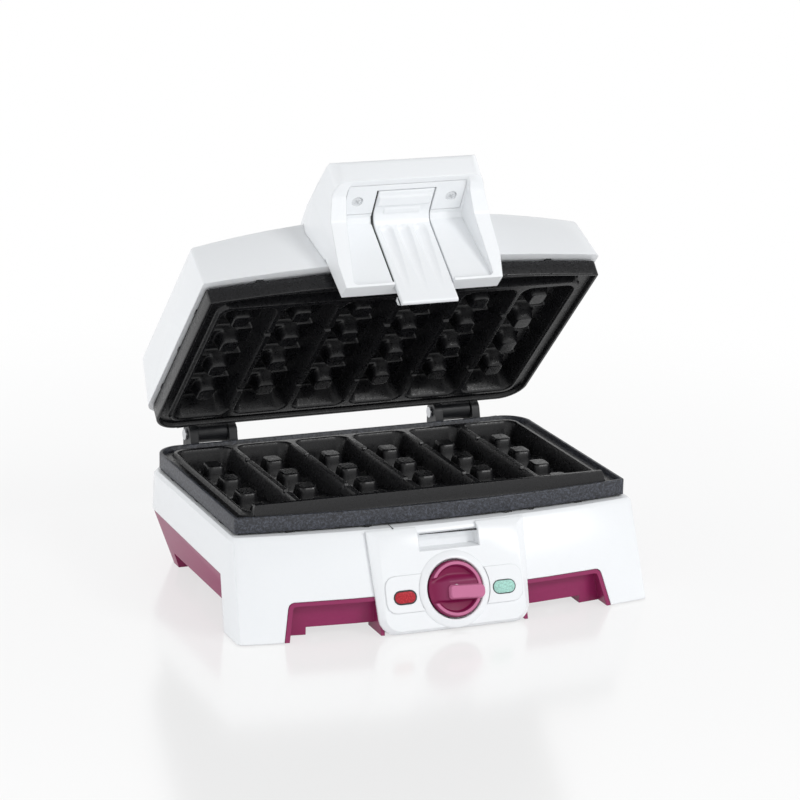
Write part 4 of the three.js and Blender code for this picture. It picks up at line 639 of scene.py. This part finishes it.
def make_plate(node, upper):
    """The cooking side as a fine height field, its rim, and the CAD casting's underside."""
    xs = np.arange(-PLATE_HALF + FIELD_INSET, PLATE_HALF - FIELD_INSET + FIELD_STEP, FIELD_STEP)
    ys = np.arange(-PLATE_FRONT + FIELD_INSET, PLATE_BACK - FIELD_INSET + FIELD_STEP, FIELD_STEP)
    px, py = np.meshgrid(xs, ys, indexing="ij")
    heights = cooking_surface(px, py, not upper)
    kept = plate_inset(px, py) > RIM_WIDTH + FIELD_FROM_RIM
    field, field_faces = grid_mesh(xs, ys, heights, kept)
    rim, rim_faces = rim_mesh()
    matrix = np.array(plate_matrix(upper))
    field = field @ matrix[:3, :3].T + matrix[:3, 3]
    rim = rim @ matrix[:3, :3].T + matrix[:3, 3]
    slot, body = SLOT_OF[node], BODY_OF[node]
    casting = mesh_of(node + "_casting", field.tolist(), [tuple(f) for f in field_faces.tolist()])
    add_piece(node + "_casting", casting, slot, body, [node], smooth=50)
    edge = mesh_of(node + "_rim", rim.tolist(), rim_faces)
    # The lower plate's rim takes the paler coat with painted sheen
    add_piece(node + "_rim", edge, slot, body, smooth=50, finish=None if upper else RIM_COAT_PAINTED_SHEEN)
    back = plate_matrix(upper).inverted()

    def underside(face):
        middle = back @ (face.calc_center_median() / MM)
        in_pan = middle.z < -CHANNEL_DEPTH - 2 and abs(middle.x) < PAN_HALF
        below = middle.z < -RIM_HEIGHT + 0.1 or in_pan
        return below and (back.to_3x3() @ face.normal).z < 0.05

    add_piece(node + "_pan", cleaned(node, underside), slot, body)


def polar_mesh(name, boundary, height, foot, matrix, rings, spokes):
    """A cap over a plane: boundary gives the outline's radius at an angle, height the top surface,
    given x, y and the distance in from the outline. The wall goes straight down to foot."""
    angles = np.linspace(0, 2 * math.pi, spokes, endpoint=False)
    reach = boundary(angles)
    shares = np.sin(np.linspace(0, math.pi / 2, rings + 1))[1:]
    points = [(0.0, 0.0, float(height(np.zeros(1), np.zeros(1), np.array([reach.min()]))[0]))]
    for share in shares:
        x, y = share * reach * np.cos(angles), share * reach * np.sin(angles)
        z = height(x, y, reach * (1 - share))
        points += list(zip(x.tolist(), y.tolist(), z.tolist()))
    x, y = reach * np.cos(angles), reach * np.sin(angles)
    points += [(a, b, foot) for a, b in zip(x.tolist(), y.tolist())]
    points.append((0.0, 0.0, foot))
    faces = [(0, 1 + j, 1 + (j + 1) % spokes) for j in range(spokes)]
    for i in range(rings):
        low, high = 1 + i * spokes, 1 + (i + 1) * spokes
        for j in range(spokes):
            k = (j + 1) % spokes
            faces.append((low + j, high + j, high + k, low + k))
    last = 1 + rings * spokes
    faces += [(last + (j + 1) % spokes, last + j, len(points) - 1) for j in range(spokes)]
    points = [tuple(matrix @ Vector(p)) for p in points]
    return mesh_of(name, points, faces)


# Knob, lamp lenses and panel, drawn on the sloped front's plane

POINTER_START = (-5.6, -1.9)
POINTER_END = (19.5, -3.3)
POINTER_HALF = 4.6
POINTER_CORNERS = (2.2, 3.6)
POINTER_TOP = 8.6
POINTER_EDGE = 0.9
POINTER_FALL = 2.4
BAR_UP = 5.2
BAR_DOWN = 6.9
RING_MIDDLE = 16.9
RING_TOP = 6.0
RING_HALF = 0.9
RING_SLOPE = 2.6
RING_DIP = 4.2
RING_DIP_HALF = 8.8
RING_DIP_SOFT = 2.2
RING_DIP_RUN = 8.0
DISH_FOOT = 1.7
DISH_RISE = 1.3
DISH_RADIUS = 15.4
BAR_FOOT = 3.1
BAR_RISE = 2.0
BAR_START = 18.5
BAR_RUN = 14.0
BAR_UP_SLOPE = 0.62
BAR_DOWN_SLOPE = 1.7
SKIRT_START = 0.6
SKIRT_RISE = 7.0


def level_between(value, low, high, ramp):
    """1 between two limits, falling softly to 0 over ramp inside each."""
    share = np.clip(np.minimum(value - low, high - value) / ramp, 0, 1)
    return share * share * (3 - 2 * share)


def pointer_inset(x, y):
    """Distance in from the pointer's outline, which is rounder at its outer end."""
    run = np.subtract(POINTER_END, POINTER_START)
    length = np.hypot(*run)
    along = ((x - POINTER_START[0]) * run[0] + (y - POINTER_START[1]) * run[1]) / length - length / 2
    across = ((y - POINTER_START[1]) * run[0] - (x - POINTER_START[0]) * run[1]) / length
    inner, outer = POINTER_CORNERS
    corner = np.where(along > 0, outer, inner)
    return -rounded_box(along, across, length / 2, POINTER_HALF, corner)


def knob_boundary(angles):
    """A disc, with the pointer's end standing out of it on the right."""
    reach = np.linspace(KNOB_RADIUS, KNOB_RADIUS + 2, 60)[:, None]
    in_pointer = pointer_inset(reach * np.cos(angles), reach * np.sin(angles)) > 0
    return np.where(in_pointer, reach, KNOB_RADIUS).max(axis=0)


def knob_height(x, y, edge):
    """Raised ring, two dished hollows, a broad bar that falls to the left, and the pointer on top."""
    radius = np.hypot(x, y)
    ring = RING_TOP - np.maximum(np.abs(radius - RING_MIDDLE) - RING_HALF, 0) * RING_SLOPE
    dip = level_between(y, -RING_DIP_HALF, RING_DIP_HALF, RING_DIP_SOFT)
    ring -= RING_DIP * dip * np.clip(-x / RING_DIP_RUN, 0, 1)
    dish = smooth_max(ring, DISH_FOOT + (radius / DISH_RADIUS) ** 2 * DISH_RISE, 1.3)
    bar_top = BAR_FOOT + np.clip((x + BAR_START) / BAR_RUN, 0, 1) * BAR_RISE
    upper = bar_top - (y - BAR_UP) * BAR_UP_SLOPE
    lower = bar_top + (y + BAR_DOWN) * BAR_DOWN_SLOPE
    bar = smooth_min(smooth_min(upper, lower, 0.6), bar_top, 0.7)
    inset = pointer_inset(x, y)
    pointer = POINTER_TOP - np.maximum(POINTER_EDGE - inset, 0) ** 1.5 * POINTER_FALL
    top = smooth_max(smooth_max(dish, bar, 0.9), pointer, 0.5)
    skirt = KNOB_FOOT + SKIRT_START + np.sqrt(np.maximum(edge, 0)) * SKIRT_RISE
    return np.where(inset > 0, top, np.minimum(top, skirt))


def make_knob():
    matrix = front_matrix(0, KNOB_DROP) @ Matrix.Translation((0, 0, KNOB_FOOT))
    mesh = polar_mesh("knob_cap", knob_boundary, knob_height, 0.0, matrix, rings=90, spokes=240)
    # The cap takes the dial's painted shade in its hollows and painted highlight on its ridges
    add_piece("knob_cap", mesh, "purple_plastic", "dial", ["knob"], smooth=60, finish=DIAL_PAINTED_SHADING)


def oval_boundary(half_x, half_y):
    """The radius at an angle of an oval with straight top and bottom and round ends."""
    flat = half_x - half_y

    def radius(angles):
        cosine, sine = np.abs(np.cos(angles)), np.abs(np.sin(angles))
        to_flat = half_y / np.maximum(sine, 1e-6)
        root = np.sqrt(np.maximum(half_y**2 - (flat * sine) ** 2, 0))
        return np.where(to_flat * cosine < flat, to_flat, flat * cosine + root)

    return radius


BAND_TOP = 4.4
LENS_HALF_WIDTH = 8.2
LENS_HALF_HEIGHT = 4.7
LENS_RISE = 0.5
LENS_CROWN = 0.35
LENS_CROWN_HALF = (8.0, 4.5)
LENS_EDGE = 0.9
LENS_FALL = 0.6
LENS_FOOT = -2.5
SEAL_RISE = 0.12
SEAL_EDGE = 0.3
SEAL_DEPTH = 1.0


def make_lens(node, side, slot, seal):
    """A domed lens in a dark seal of the given width, on the raised band."""
    def height(x, y, edge):
        half_x, half_y = LENS_CROWN_HALF
        crown = LENS_CROWN * (1 - (x / half_x) ** 2) * (1 - (y / half_y) ** 2)
        return BAND_TOP + LENS_RISE + crown - np.maximum(LENS_EDGE - edge, 0) ** 2 * LENS_FALL

    def seal_height(x, y, edge):
        return BAND_TOP + SEAL_RISE - np.maximum(SEAL_EDGE - edge, 0) ** 2

    matrix = front_matrix(side * LAMP_SPREAD, LAMP_DROP)
    outline = oval_boundary(LENS_HALF_WIDTH - seal, LENS_HALF_HEIGHT - seal)
    dome = polar_mesh(node + "_dome", outline, height, LENS_FOOT, matrix, rings=16, spokes=96)
    add_piece(node + "_dome", dome, slot, "base", [node], smooth=50)
    outline = oval_boundary(LENS_HALF_WIDTH, LENS_HALF_HEIGHT)
    foot = BAND_TOP - SEAL_DEPTH
    ring = polar_mesh(node + "_seal", outline, seal_height, foot, matrix, rings=12, spokes=96)
    add_piece(node + "_seal", ring, "black_plastic", "base")


# The ring round the knob, as (radius, height over the housing's sloped front)
BEZEL_PROFILE = [
    (25.75, 3.3), (25.6, 3.75), (25.2, 4.1), (24.4, 4.5), (22.0, 5.55), (21.2, 5.85), (20.7, 5.9),
    (20.3, 5.75), (20.05, 5.4), (19.95, 4.8), (19.95, 2.0),
]
BEZEL_OUTER = 25.6


def make_panel():
    """The raised panel, with a softly sloped ring round the knob in place of the CAD part's flat one."""
    matrix = front_matrix(0, KNOB_DROP)
    back = matrix.inverted()

    def off_bezel(face):
        middle = back @ (face.calc_center_median() / MM)
        radius = math.hypot(middle.x, middle.y)
        out = abs((back.to_3x3() @ face.normal).z)
        on_top = radius < BEZEL_OUTER + 0.1 and middle.z > BAND_TOP + 0.06
        on_wall = abs(radius - BEZEL_OUTER) < 0.3 and out < 0.3
        return not (on_top or on_wall)

    panel = cleaned("control_panel", off_bezel)
    add_piece("control_panel_finished", panel, "white_plastic", "base", ["control_panel"])
    ring = lathe("bezel_ring", BEZEL_PROFILE, matrix)
    add_piece("bezel_ring", ring, "white_plastic", "base", smooth=60)


# A black strip under the latch recess's ledge as painted shadow, a thin dark joint on the deck, and the
# lugs under the lower plate
RECESS_SHADOW = [(-19.6, -5.5), (21.4, -6.2), (21.4, -4.9), (-19.6, -5.0)]
RECESS_SHADOW_SPAN = (1.2, 1.5)
DECK_JOINT = [(-37.1, -103.6), (-36.4, -103.6), (-36.0, -94.0), (-36.5, -94.0)]
DECK_JOINT_SPAN = (-0.3, 0.06)
LUG_OUTLINE = [(-2.3, 1.4), (-1.9, 0.5), (-1.2, -0.1), (1.2, -0.1), (1.9, 0.5), (2.3, 1.4)]
LUG_SPAN = (-2.0, 0.4)
LUG_PLACES = [-51.7, 49.0, 67.6]


def make_front_details():
    # Painted shadow: a black strip where the ledge shades the recess
    joint = prism("recess_painted_shadow", RECESS_SHADOW, *RECESS_SHADOW_SPAN, front_matrix(0, 0))
    add_piece("recess_painted_shadow", joint, "black_plastic", "base")
    deck = Matrix.Translation((0, SHIFT, DECK))
    joint = prism("deck_joint", DECK_JOINT, *DECK_JOINT_SPAN, deck)
    add_piece("deck_joint", joint, "black_plastic", "base")
    for number, x in enumerate(LUG_PLACES, 1):
        place = deck @ Matrix.Translation((x, plate_front(x), 0)) @ Matrix.Rotation(math.pi / 2, 4, "X")
        lug = prism(f"plate_lug_{number}", LUG_OUTLINE, *LUG_SPAN, place)
        add_piece(f"plate_lug_{number}", lug, "non_stick", "base")


# Round housings on the chassis's back wall, where the shell's two rear screw bosses come through it
BOSS_COVER_RADIUS = 4.8
BOSS_COVER_FACETS = 48
BOSS_COVER_SPAN = (11.4, 30.0)
BOSS_SPREAD = 60.0
BOSS_AHEAD_OF_BACK = 5.8


def make_boss_covers():
    turns = np.linspace(0, 2 * math.pi, BOSS_COVER_FACETS, endpoint=False)
    circle = [(BOSS_COVER_RADIUS * math.cos(a), BOSS_COVER_RADIUS * math.sin(a)) for a in turns.tolist()]
    for number, side in enumerate((-1, 1), 1):
        place = Matrix.Translation((side * BOSS_SPREAD, SHIFT + PLATE_BACK - BOSS_AHEAD_OF_BACK, 0))
        cover = prism(f"boss_cover_{number}", circle, *BOSS_COVER_SPAN, place)
        add_piece(f"boss_cover_{number}", cover, "purple_plastic", "base", smooth=40)


# Release lever: its front runs along the pocket's roof, round the bend and down the pocket's back.
# Places are given ahead of the plates' front edge and over the parting, for the closed lid.

ROOF_BACK = np.array((8.5, 46.9))
ROOF_FRONT = np.array((35.5, 55.1))
LEVER_BEND = np.array((6.0, 43.4))
LEVER_TIP = np.array((16.1, -24.8))
LEVER_ON_ROOF = 21.8
LEVER_FILLET = 9.0
LEVER_THICKNESS = 3.0
LEVER_LEFT = 19.9
LEVER_RIGHT = 20.6
LEVER_EDGE = 0.9
LEVER_START_EDGE = 0.6
GRIP_BAR_SPAN = (4.0, 13.0)
GRIP_BAR_HALF = 19.3
GRIP_BAR_RISE = 1.0
RIB_SPAN = (14.7, 20.0)
RIB_HALF = 13.5
RIB_RISE = 0.6
FLUTE_PITCH = 12.0
FLUTE_RADIUS = 5.9
FLUTE_DEPTH = 2.5
FLUTE_SOFT = 0.25
FLUTE_START = 9.5
FLUTE_END = 62.0


def unit(vector):
    return vector / np.hypot(*vector)


def out_of(direction):
    """Towards the open pocket, for a run down the lever's front."""
    return np.array((-direction[1], direction[0]))


ROOF_RUN = unit(ROOF_BACK - ROOF_FRONT)
ARM_RUN = unit(LEVER_TIP - LEVER_BEND)
ROOF_TO_CORNER = np.linalg.solve(np.array((ROOF_RUN, -ARM_RUN)).T, LEVER_BEND - ROOF_BACK)[0]
LEVER_CORNER = ROOF_BACK + ROOF_RUN * ROOF_TO_CORNER
LEVER_TURN = math.acos(float(ROOF_RUN @ ARM_RUN))
LEVER_TANGENT = LEVER_FILLET * math.tan(LEVER_TURN / 2)


def lever_path(step=0.6):
    """Rows down the lever's front: place, outward direction, and distance from the virtual corner."""
    roof_long = LEVER_ON_ROOF + ROOF_TO_CORNER
    arm_long = float(np.hypot(*(LEVER_TIP - LEVER_CORNER)))
    rows = []
    for distance in np.arange(-roof_long, -LEVER_TANGENT, step):
        rows.append((LEVER_CORNER + ROOF_RUN * distance, out_of(ROOF_RUN), distance))
    centre = LEVER_CORNER - ROOF_RUN * LEVER_TANGENT + out_of(ROOF_RUN) * LEVER_FILLET
    for share in np.linspace(0, 1, 24):
        cosine, sine = math.cos(LEVER_TURN * share), math.sin(LEVER_TURN * share)
        run = cosine * ROOF_RUN + sine * out_of(ROOF_RUN)
        rows.append((centre - out_of(run) * LEVER_FILLET, out_of(run), LEVER_TANGENT * (2 * share - 1)))
    for distance in np.append(np.arange(LEVER_TANGENT + step, arm_long, step), arm_long):
        rows.append((LEVER_CORNER + ARM_RUN * distance, out_of(ARM_RUN), distance))
    return rows


def rounding(inset, radius):
    """How far a rounded edge has dropped, at a distance in from it."""
    return radius - np.sqrt(np.maximum(radius**2 - np.maximum(radius - inset, 0) ** 2, 0))


def lever_relief(x, distance, first, last):
    """Height of the lever's front over its path."""
    front = distance - first
    relief = GRIP_BAR_RISE * level_between(front, *GRIP_BAR_SPAN, 1.0)
    relief = relief * level_between(x, -GRIP_BAR_HALF, GRIP_BAR_HALF, 0.9)
    rib = RIB_RISE * level_between(front, *RIB_SPAN, 0.9)
    relief = relief + rib * level_between(x, -RIB_HALF, RIB_HALF, 0.9)
    depth = FLUTE_DEPTH * (FLUTE_END - distance) / (FLUTE_END - FLUTE_START)
    over = max(FLUTE_START - distance, 0)
    for i in (-1, 0, 1):
        round_part = FLUTE_RADIUS**2 - (x - i * FLUTE_PITCH) ** 2 - over**2
        flute = np.sqrt(np.maximum(round_part, 0)) - FLUTE_RADIUS + min(depth, FLUTE_DEPTH)
        relief = relief - smooth_max(flute, np.zeros_like(x), FLUTE_SOFT)
    side = rounding(np.minimum(x + LEVER_LEFT, LEVER_RIGHT - x), LEVER_EDGE)
    ends = rounding(front, LEVER_START_EDGE) + rounding(last - distance, LEVER_EDGE)
    return relief - side - ends


def lever_bar(name, rows, section, matrix):
    """A closed bar along the lever's path, from its section of (across, height) at each distance."""
    points = []
    for place, out, distance in rows:
        for across, over in section(distance):
            ahead, height = place + out * over
            points.append(tuple(matrix @ Vector((across, -ahead, height))))
    count = len(points) // len(rows)
    faces = [tuple(range(count)), tuple(reversed(range(len(points) - count, len(points))))]
    return mesh_of(name, points, faces + band_faces(len(rows), count, flip=True))


# A black strip down in the gap at the lever's left: painted shadow, for the dark inside of the handle
# that the real gap opens into
GAP_SHADOW_SECTION = [(-21.5, -0.7), (-20.1, -0.7), (-20.1, -1.3), (-21.5, -1.3)]
GAP_SHADOW_END = 53.0


def make_lever():
    rows = lever_path()
    first, last = rows[0][2], rows[-1][2]
    x = np.concatenate([
        np.linspace(-LEVER_LEFT, -LEVER_LEFT + 1, 8)[:-1],
        np.linspace(-LEVER_LEFT + 1, LEVER_RIGHT - 1, 96),
        np.linspace(LEVER_RIGHT - 1, LEVER_RIGHT, 8)[1:],
    ])
    matrix = lid_matrix() @ Matrix.Translation((0, SHIFT - PLATE_FRONT, PARTING))

    def section(distance):
        front = list(zip(x.tolist(), lever_relief(x, distance, first, last).tolist()))
        return front + [(LEVER_RIGHT, -LEVER_THICKNESS), (-LEVER_LEFT, -LEVER_THICKNESS)]

    mesh = lever_bar("release_lever_face", rows, section, matrix)
    add_piece("release_lever_face", mesh, "white_plastic", "lever", ["release_lever"], smooth=50)
    # The black strip in the left gap is painted shadow
    gap_rows = [row for row in rows if row[2] < GAP_SHADOW_END]
    gap_shadow = lever_bar("lever_gap_painted_shadow", gap_rows, lambda distance: GAP_SHADOW_SECTION, matrix)
    add_piece("lever_gap_painted_shadow", gap_shadow, "black_plastic", "lid")
    back = matrix.inverted()

    def behind(face):
        middle = back @ (face.calc_center_median() / MM)
        away = np.array((-middle.y, middle.z)) - LEVER_CORNER
        return max(-away @ out_of(ARM_RUN), -away @ out_of(ROOF_RUN)) > LEVER_THICKNESS + 0.05

    add_piece("release_lever_back", cleaned("release_lever", behind), "white_plastic", "lever")


# Cover screws, on the plate under the brow

SCREW_RADIUS = 3.6
SCREW_RISE = 1.1
SCREW_FALL = 0.35
SCREW_EDGE = 0.3
SCREW_EDGE_SLOPE = 0.8
SCREW_FOOT = -0.3
SCREW_TURN = 35.0
CROSS_HALF_WIDTH = 0.45
CROSS_HALF_LENGTH = 1.9
CROSS_SLOPE = 3.0
CROSS_DEPTH = 0.9


def make_cover_screw(node):
    """A cross-head screw head where the CAD screw is."""
    low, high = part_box(node)
    normal = cover_normal()
    head = (Vector(low) + Vector(high)) / 2 / MM
    face = max((v.co / MM).dot(normal) for v in NODES[node].data.vertices)
    head += normal * (face - head.dot(normal) - SCREW_RISE)
    across = Vector((1, 0, 0))
    matrix = axes_matrix(across, normal.cross(across), normal, head)
    matrix = matrix @ Matrix.Rotation(math.radians(SCREW_TURN), 4, "Z")

    def height(x, y, edge):
        fall = (np.hypot(x, y) / SCREW_RADIUS) ** 2 * SCREW_FALL
        dome = SCREW_RISE - fall - np.maximum(SCREW_EDGE - edge, 0) * SCREW_EDGE_SLOPE
        slot_a = np.maximum(np.abs(x) - CROSS_HALF_WIDTH, np.abs(y) - CROSS_HALF_LENGTH)
        slot_b = np.maximum(np.abs(y) - CROSS_HALF_WIDTH, np.abs(x) - CROSS_HALF_LENGTH)
        recess = np.minimum(slot_a, slot_b)
        return dome - np.clip(-recess * CROSS_SLOPE + 0.1, 0, CROSS_DEPTH)

    def disc(angles):
        return np.full_like(angles, SCREW_RADIUS)

    mesh = polar_mesh(node + "_head", disc, height, SCREW_FOOT, matrix, rings=30, spokes=96)
    add_piece(node + "_head", mesh, "steel", "lid", [node], smooth=40, finish=SCREW_FINISH)


def cover_normal():
    """The way the plate under the brow faces, with the lid open."""
    ahead, rise = (ROOF_FRONT - ROOF_BACK).tolist()
    turn = Matrix.Rotation(math.radians(-LID_OPENING), 3, "X")
    return (turn @ Vector((0, -rise, -ahead))).normalized()


# Everything in its place

make_plate("lower_plate", False)
make_plate("upper_plate", True)
make_knob()
make_lens("red_lamp_lens", -1, "red_lens", 0.95)
make_lens("green_lamp_lens", 1, "green_lens", 0.5)
make_panel()
make_front_details()
make_boss_covers()
make_cover_screw("left_cover_screw")
make_cover_screw("right_cover_screw")
make_lever()
for node_name in NODES:
    if node_name not in REPLACED:
        dress(node_name)


# Floor, light and camera

class Shading:
    """A node tree that is built from nothing, with a short call for each node."""

    def __init__(self, owner):
        owner.use_nodes = True
        self.tree = owner.node_tree
        self.tree.nodes.clear()

    def add(self, kind, inputs=None, **settings):
        """A node with its inputs linked or set; gives back its first output."""
        node = self.tree.nodes.new(kind)
        for key, value in settings.items():
            setattr(node, key, value)
        for key, value in (inputs or {}).items():
            if isinstance(value, bpy.types.NodeSocket):
                self.tree.links.new(value, node.inputs[key])
            else:
                node.inputs[key].default_value = value
        return node.outputs[0] if node.outputs else None

    def seen(self, *rays):
        """1 for the named kinds of ray, else 0."""
        path = self.tree.nodes.new("ShaderNodeLightPath")
        total = path.outputs[rays[0]]
        for ray in rays[1:]:
            total = self.add("ShaderNodeMath", {0: total, 1: path.outputs[ray]}, operation="MAXIMUM")
        return total


def grey(value):
    return (value, value, value, 1)


def stage_plane(name, corners, material):
    mesh = mesh_of(name, corners, [(0, 1, 2, 3)], 1.0)
    mesh.materials.append(material)
    plane = bpy.data.objects.new(name, mesh)
    bpy.context.scene.collection.objects.link(plane)


FLOOR_SIZE = 6.0
FLOOR_COLOUR = 0.92
FLOOR_GLOSS = 0.13
FLOOR_BLUR = 0.16
FLOOR_LIFT = 0.78
FLOOR_NEAR = 0.25
FLOOR_FAR = 0.8


def make_floor():
    """A glossy table that is white to the camera, with the object's shadow and reflection near it."""
    material = bpy.data.materials.new("floor")
    shading = Shading(material)
    plain = shading.add("ShaderNodeBsdfDiffuse", {"Color": grey(FLOOR_COLOUR)})
    lift = shading.add("ShaderNodeEmission", {"Color": grey(1), "Strength": 1.0})
    place = shading.tree.nodes.new("ShaderNodeTexCoord").outputs["Object"]
    length = shading.tree.nodes.new("ShaderNodeVectorMath")
    length.operation = "LENGTH"
    shading.tree.links.new(place, length.inputs[0])
    lifted = shading.add("ShaderNodeMapRange", {
        "Value": length.outputs["Value"],
        "From Min": FLOOR_NEAR,
        "From Max": FLOOR_FAR,
        "To Min": FLOOR_LIFT,
        "To Max": 1.0,
    }, interpolation_type="SMOOTHSTEP")
    table = shading.add("ShaderNodeMixShader", {0: lifted, 1: plain, 2: lift})
    gloss = shading.add("ShaderNodeBsdfGlossy", {"Color": grey(1), "Roughness": FLOOR_BLUR})
    shown = shading.add("ShaderNodeMixShader", {0: FLOOR_GLOSS, 1: table, 2: gloss})
    seen = shading.seen("Is Camera Ray", "Is Glossy Ray", "Is Transmission Ray")
    either = shading.add("ShaderNodeMixShader", {0: seen, 1: plain, 2: shown})
    shading.add("ShaderNodeOutputMaterial", {"Surface": either})
    edge = FLOOR_SIZE
    corners = [(-edge, -edge, 0), (edge, -edge, 0), (edge, edge, 0), (-edge, edge, 0)]
    stage_plane("floor", corners, material)


CEILING_SIZE = 2.6
CEILING_HEIGHT = 2.3
CEILING_LIGHT = 0.42


def make_ceiling():
    """A dim panel over the table, so that what faces up is a little darker than what faces the front."""
    material = bpy.data.materials.new("ceiling")
    shading = Shading(material)
    glow = shading.add("ShaderNodeEmission", {"Color": grey(1), "Strength": CEILING_LIGHT})
    shading.add("ShaderNodeOutputMaterial", {"Surface": glow})
    edge, up = CEILING_SIZE, CEILING_HEIGHT
    corners = [(-edge, edge, up), (edge, edge, up), (edge, -edge, up), (-edge, -edge, up)]
    stage_plane("ceiling", corners, material)


WORLD_LIGHT = 0.99
WORLD_TINT = (0.97, 0.985, 1, 1)


def make_world():
    world = bpy.data.worlds.new("studio")
    bpy.context.scene.world = world
    shading = Shading(world)
    light = shading.add("ShaderNodeBackground", {"Color": WORLD_TINT, "Strength": WORLD_LIGHT})
    white = shading.add("ShaderNodeBackground", {"Color": grey(1), "Strength": 1.0})
    seen = shading.seen("Is Camera Ray", "Is Glossy Ray", "Is Transmission Ray")
    either = shading.add("ShaderNodeMixShader", {0: seen, 1: light, 2: white})
    shading.add("ShaderNodeOutputWorld", {"Surface": either})


LIGHT_AIM = (0, 0, 0.12)
# Lamps as (name, place, width and height, watts)
LAMPS = [
    ("key", (1.25, -1.7, 1.7), (0.8, 0.6), 19),
    ("left_fill", (-2.3, 0.5, 0.6), (1.4, 1.4), 9),
    ("low_fill", (-0.6, -2.5, 0.2), (1.8, 0.4), 3),
]


def make_light(name, place, size, power):
    lamp = bpy.data.lights.new(name, "AREA")
    lamp.shape = "RECTANGLE"
    lamp.size, lamp.size_y = size
    lamp.energy = power
    thing = bpy.data.objects.new(name, lamp)
    bpy.context.scene.collection.objects.link(thing)
    thing.location = place
    aim = Vector(LIGHT_AIM) - Vector(place)
    thing.rotation_euler = aim.to_track_quat("-Z", "Y").to_euler()


# The camera that took the photograph: it looks at a point between the plates. Lengths are in
# millimetres, angles in degrees, and the focal length is in pixels of the photograph.
PHOTO_SIDE = 800.0
FOCAL_PIXELS = 3213.35
SENSOR = 36.0
AZIMUTH = -22.49
ELEVATION = 15.51
ROLL = 1.21
LOOK_AT = (9.21, 0.0, 122.63)
DISTANCE = 2210.97


def make_camera():
    azimuth, elevation, roll = (math.radians(v) for v in (AZIMUTH, ELEVATION, ROLL))
    reach = math.cos(elevation)
    back = Vector((math.sin(azimuth) * reach, -math.cos(azimuth) * reach, math.sin(elevation)))
    level = Vector((math.cos(azimuth), math.sin(azimuth), 0))
    rise = back.cross(level)
    right = level * math.cos(roll) + rise * math.sin(roll)
    up = rise * math.cos(roll) - level * math.sin(roll)
    look_at = Vector(LOOK_AT) + Vector((0, SHIFT, 0))
    eye = (look_at + back * DISTANCE) * MM
    camera = bpy.data.cameras.new("camera")
    camera.sensor_width = SENSOR
    camera.lens = SENSOR * FOCAL_PIXELS / PHOTO_SIDE
    camera.clip_end = 100
    thing = bpy.data.objects.new("camera", camera)
    bpy.context.scene.collection.objects.link(thing)
    thing.matrix_world = axes_matrix(right, up, back, eye)
    bpy.context.scene.camera = thing


make_floor()
make_ceiling()
make_world()
for lamp_settings in LAMPS:
    make_light(*lamp_settings)
make_camera()
bpy.context.scene.view_settings.view_transform = "Standard"
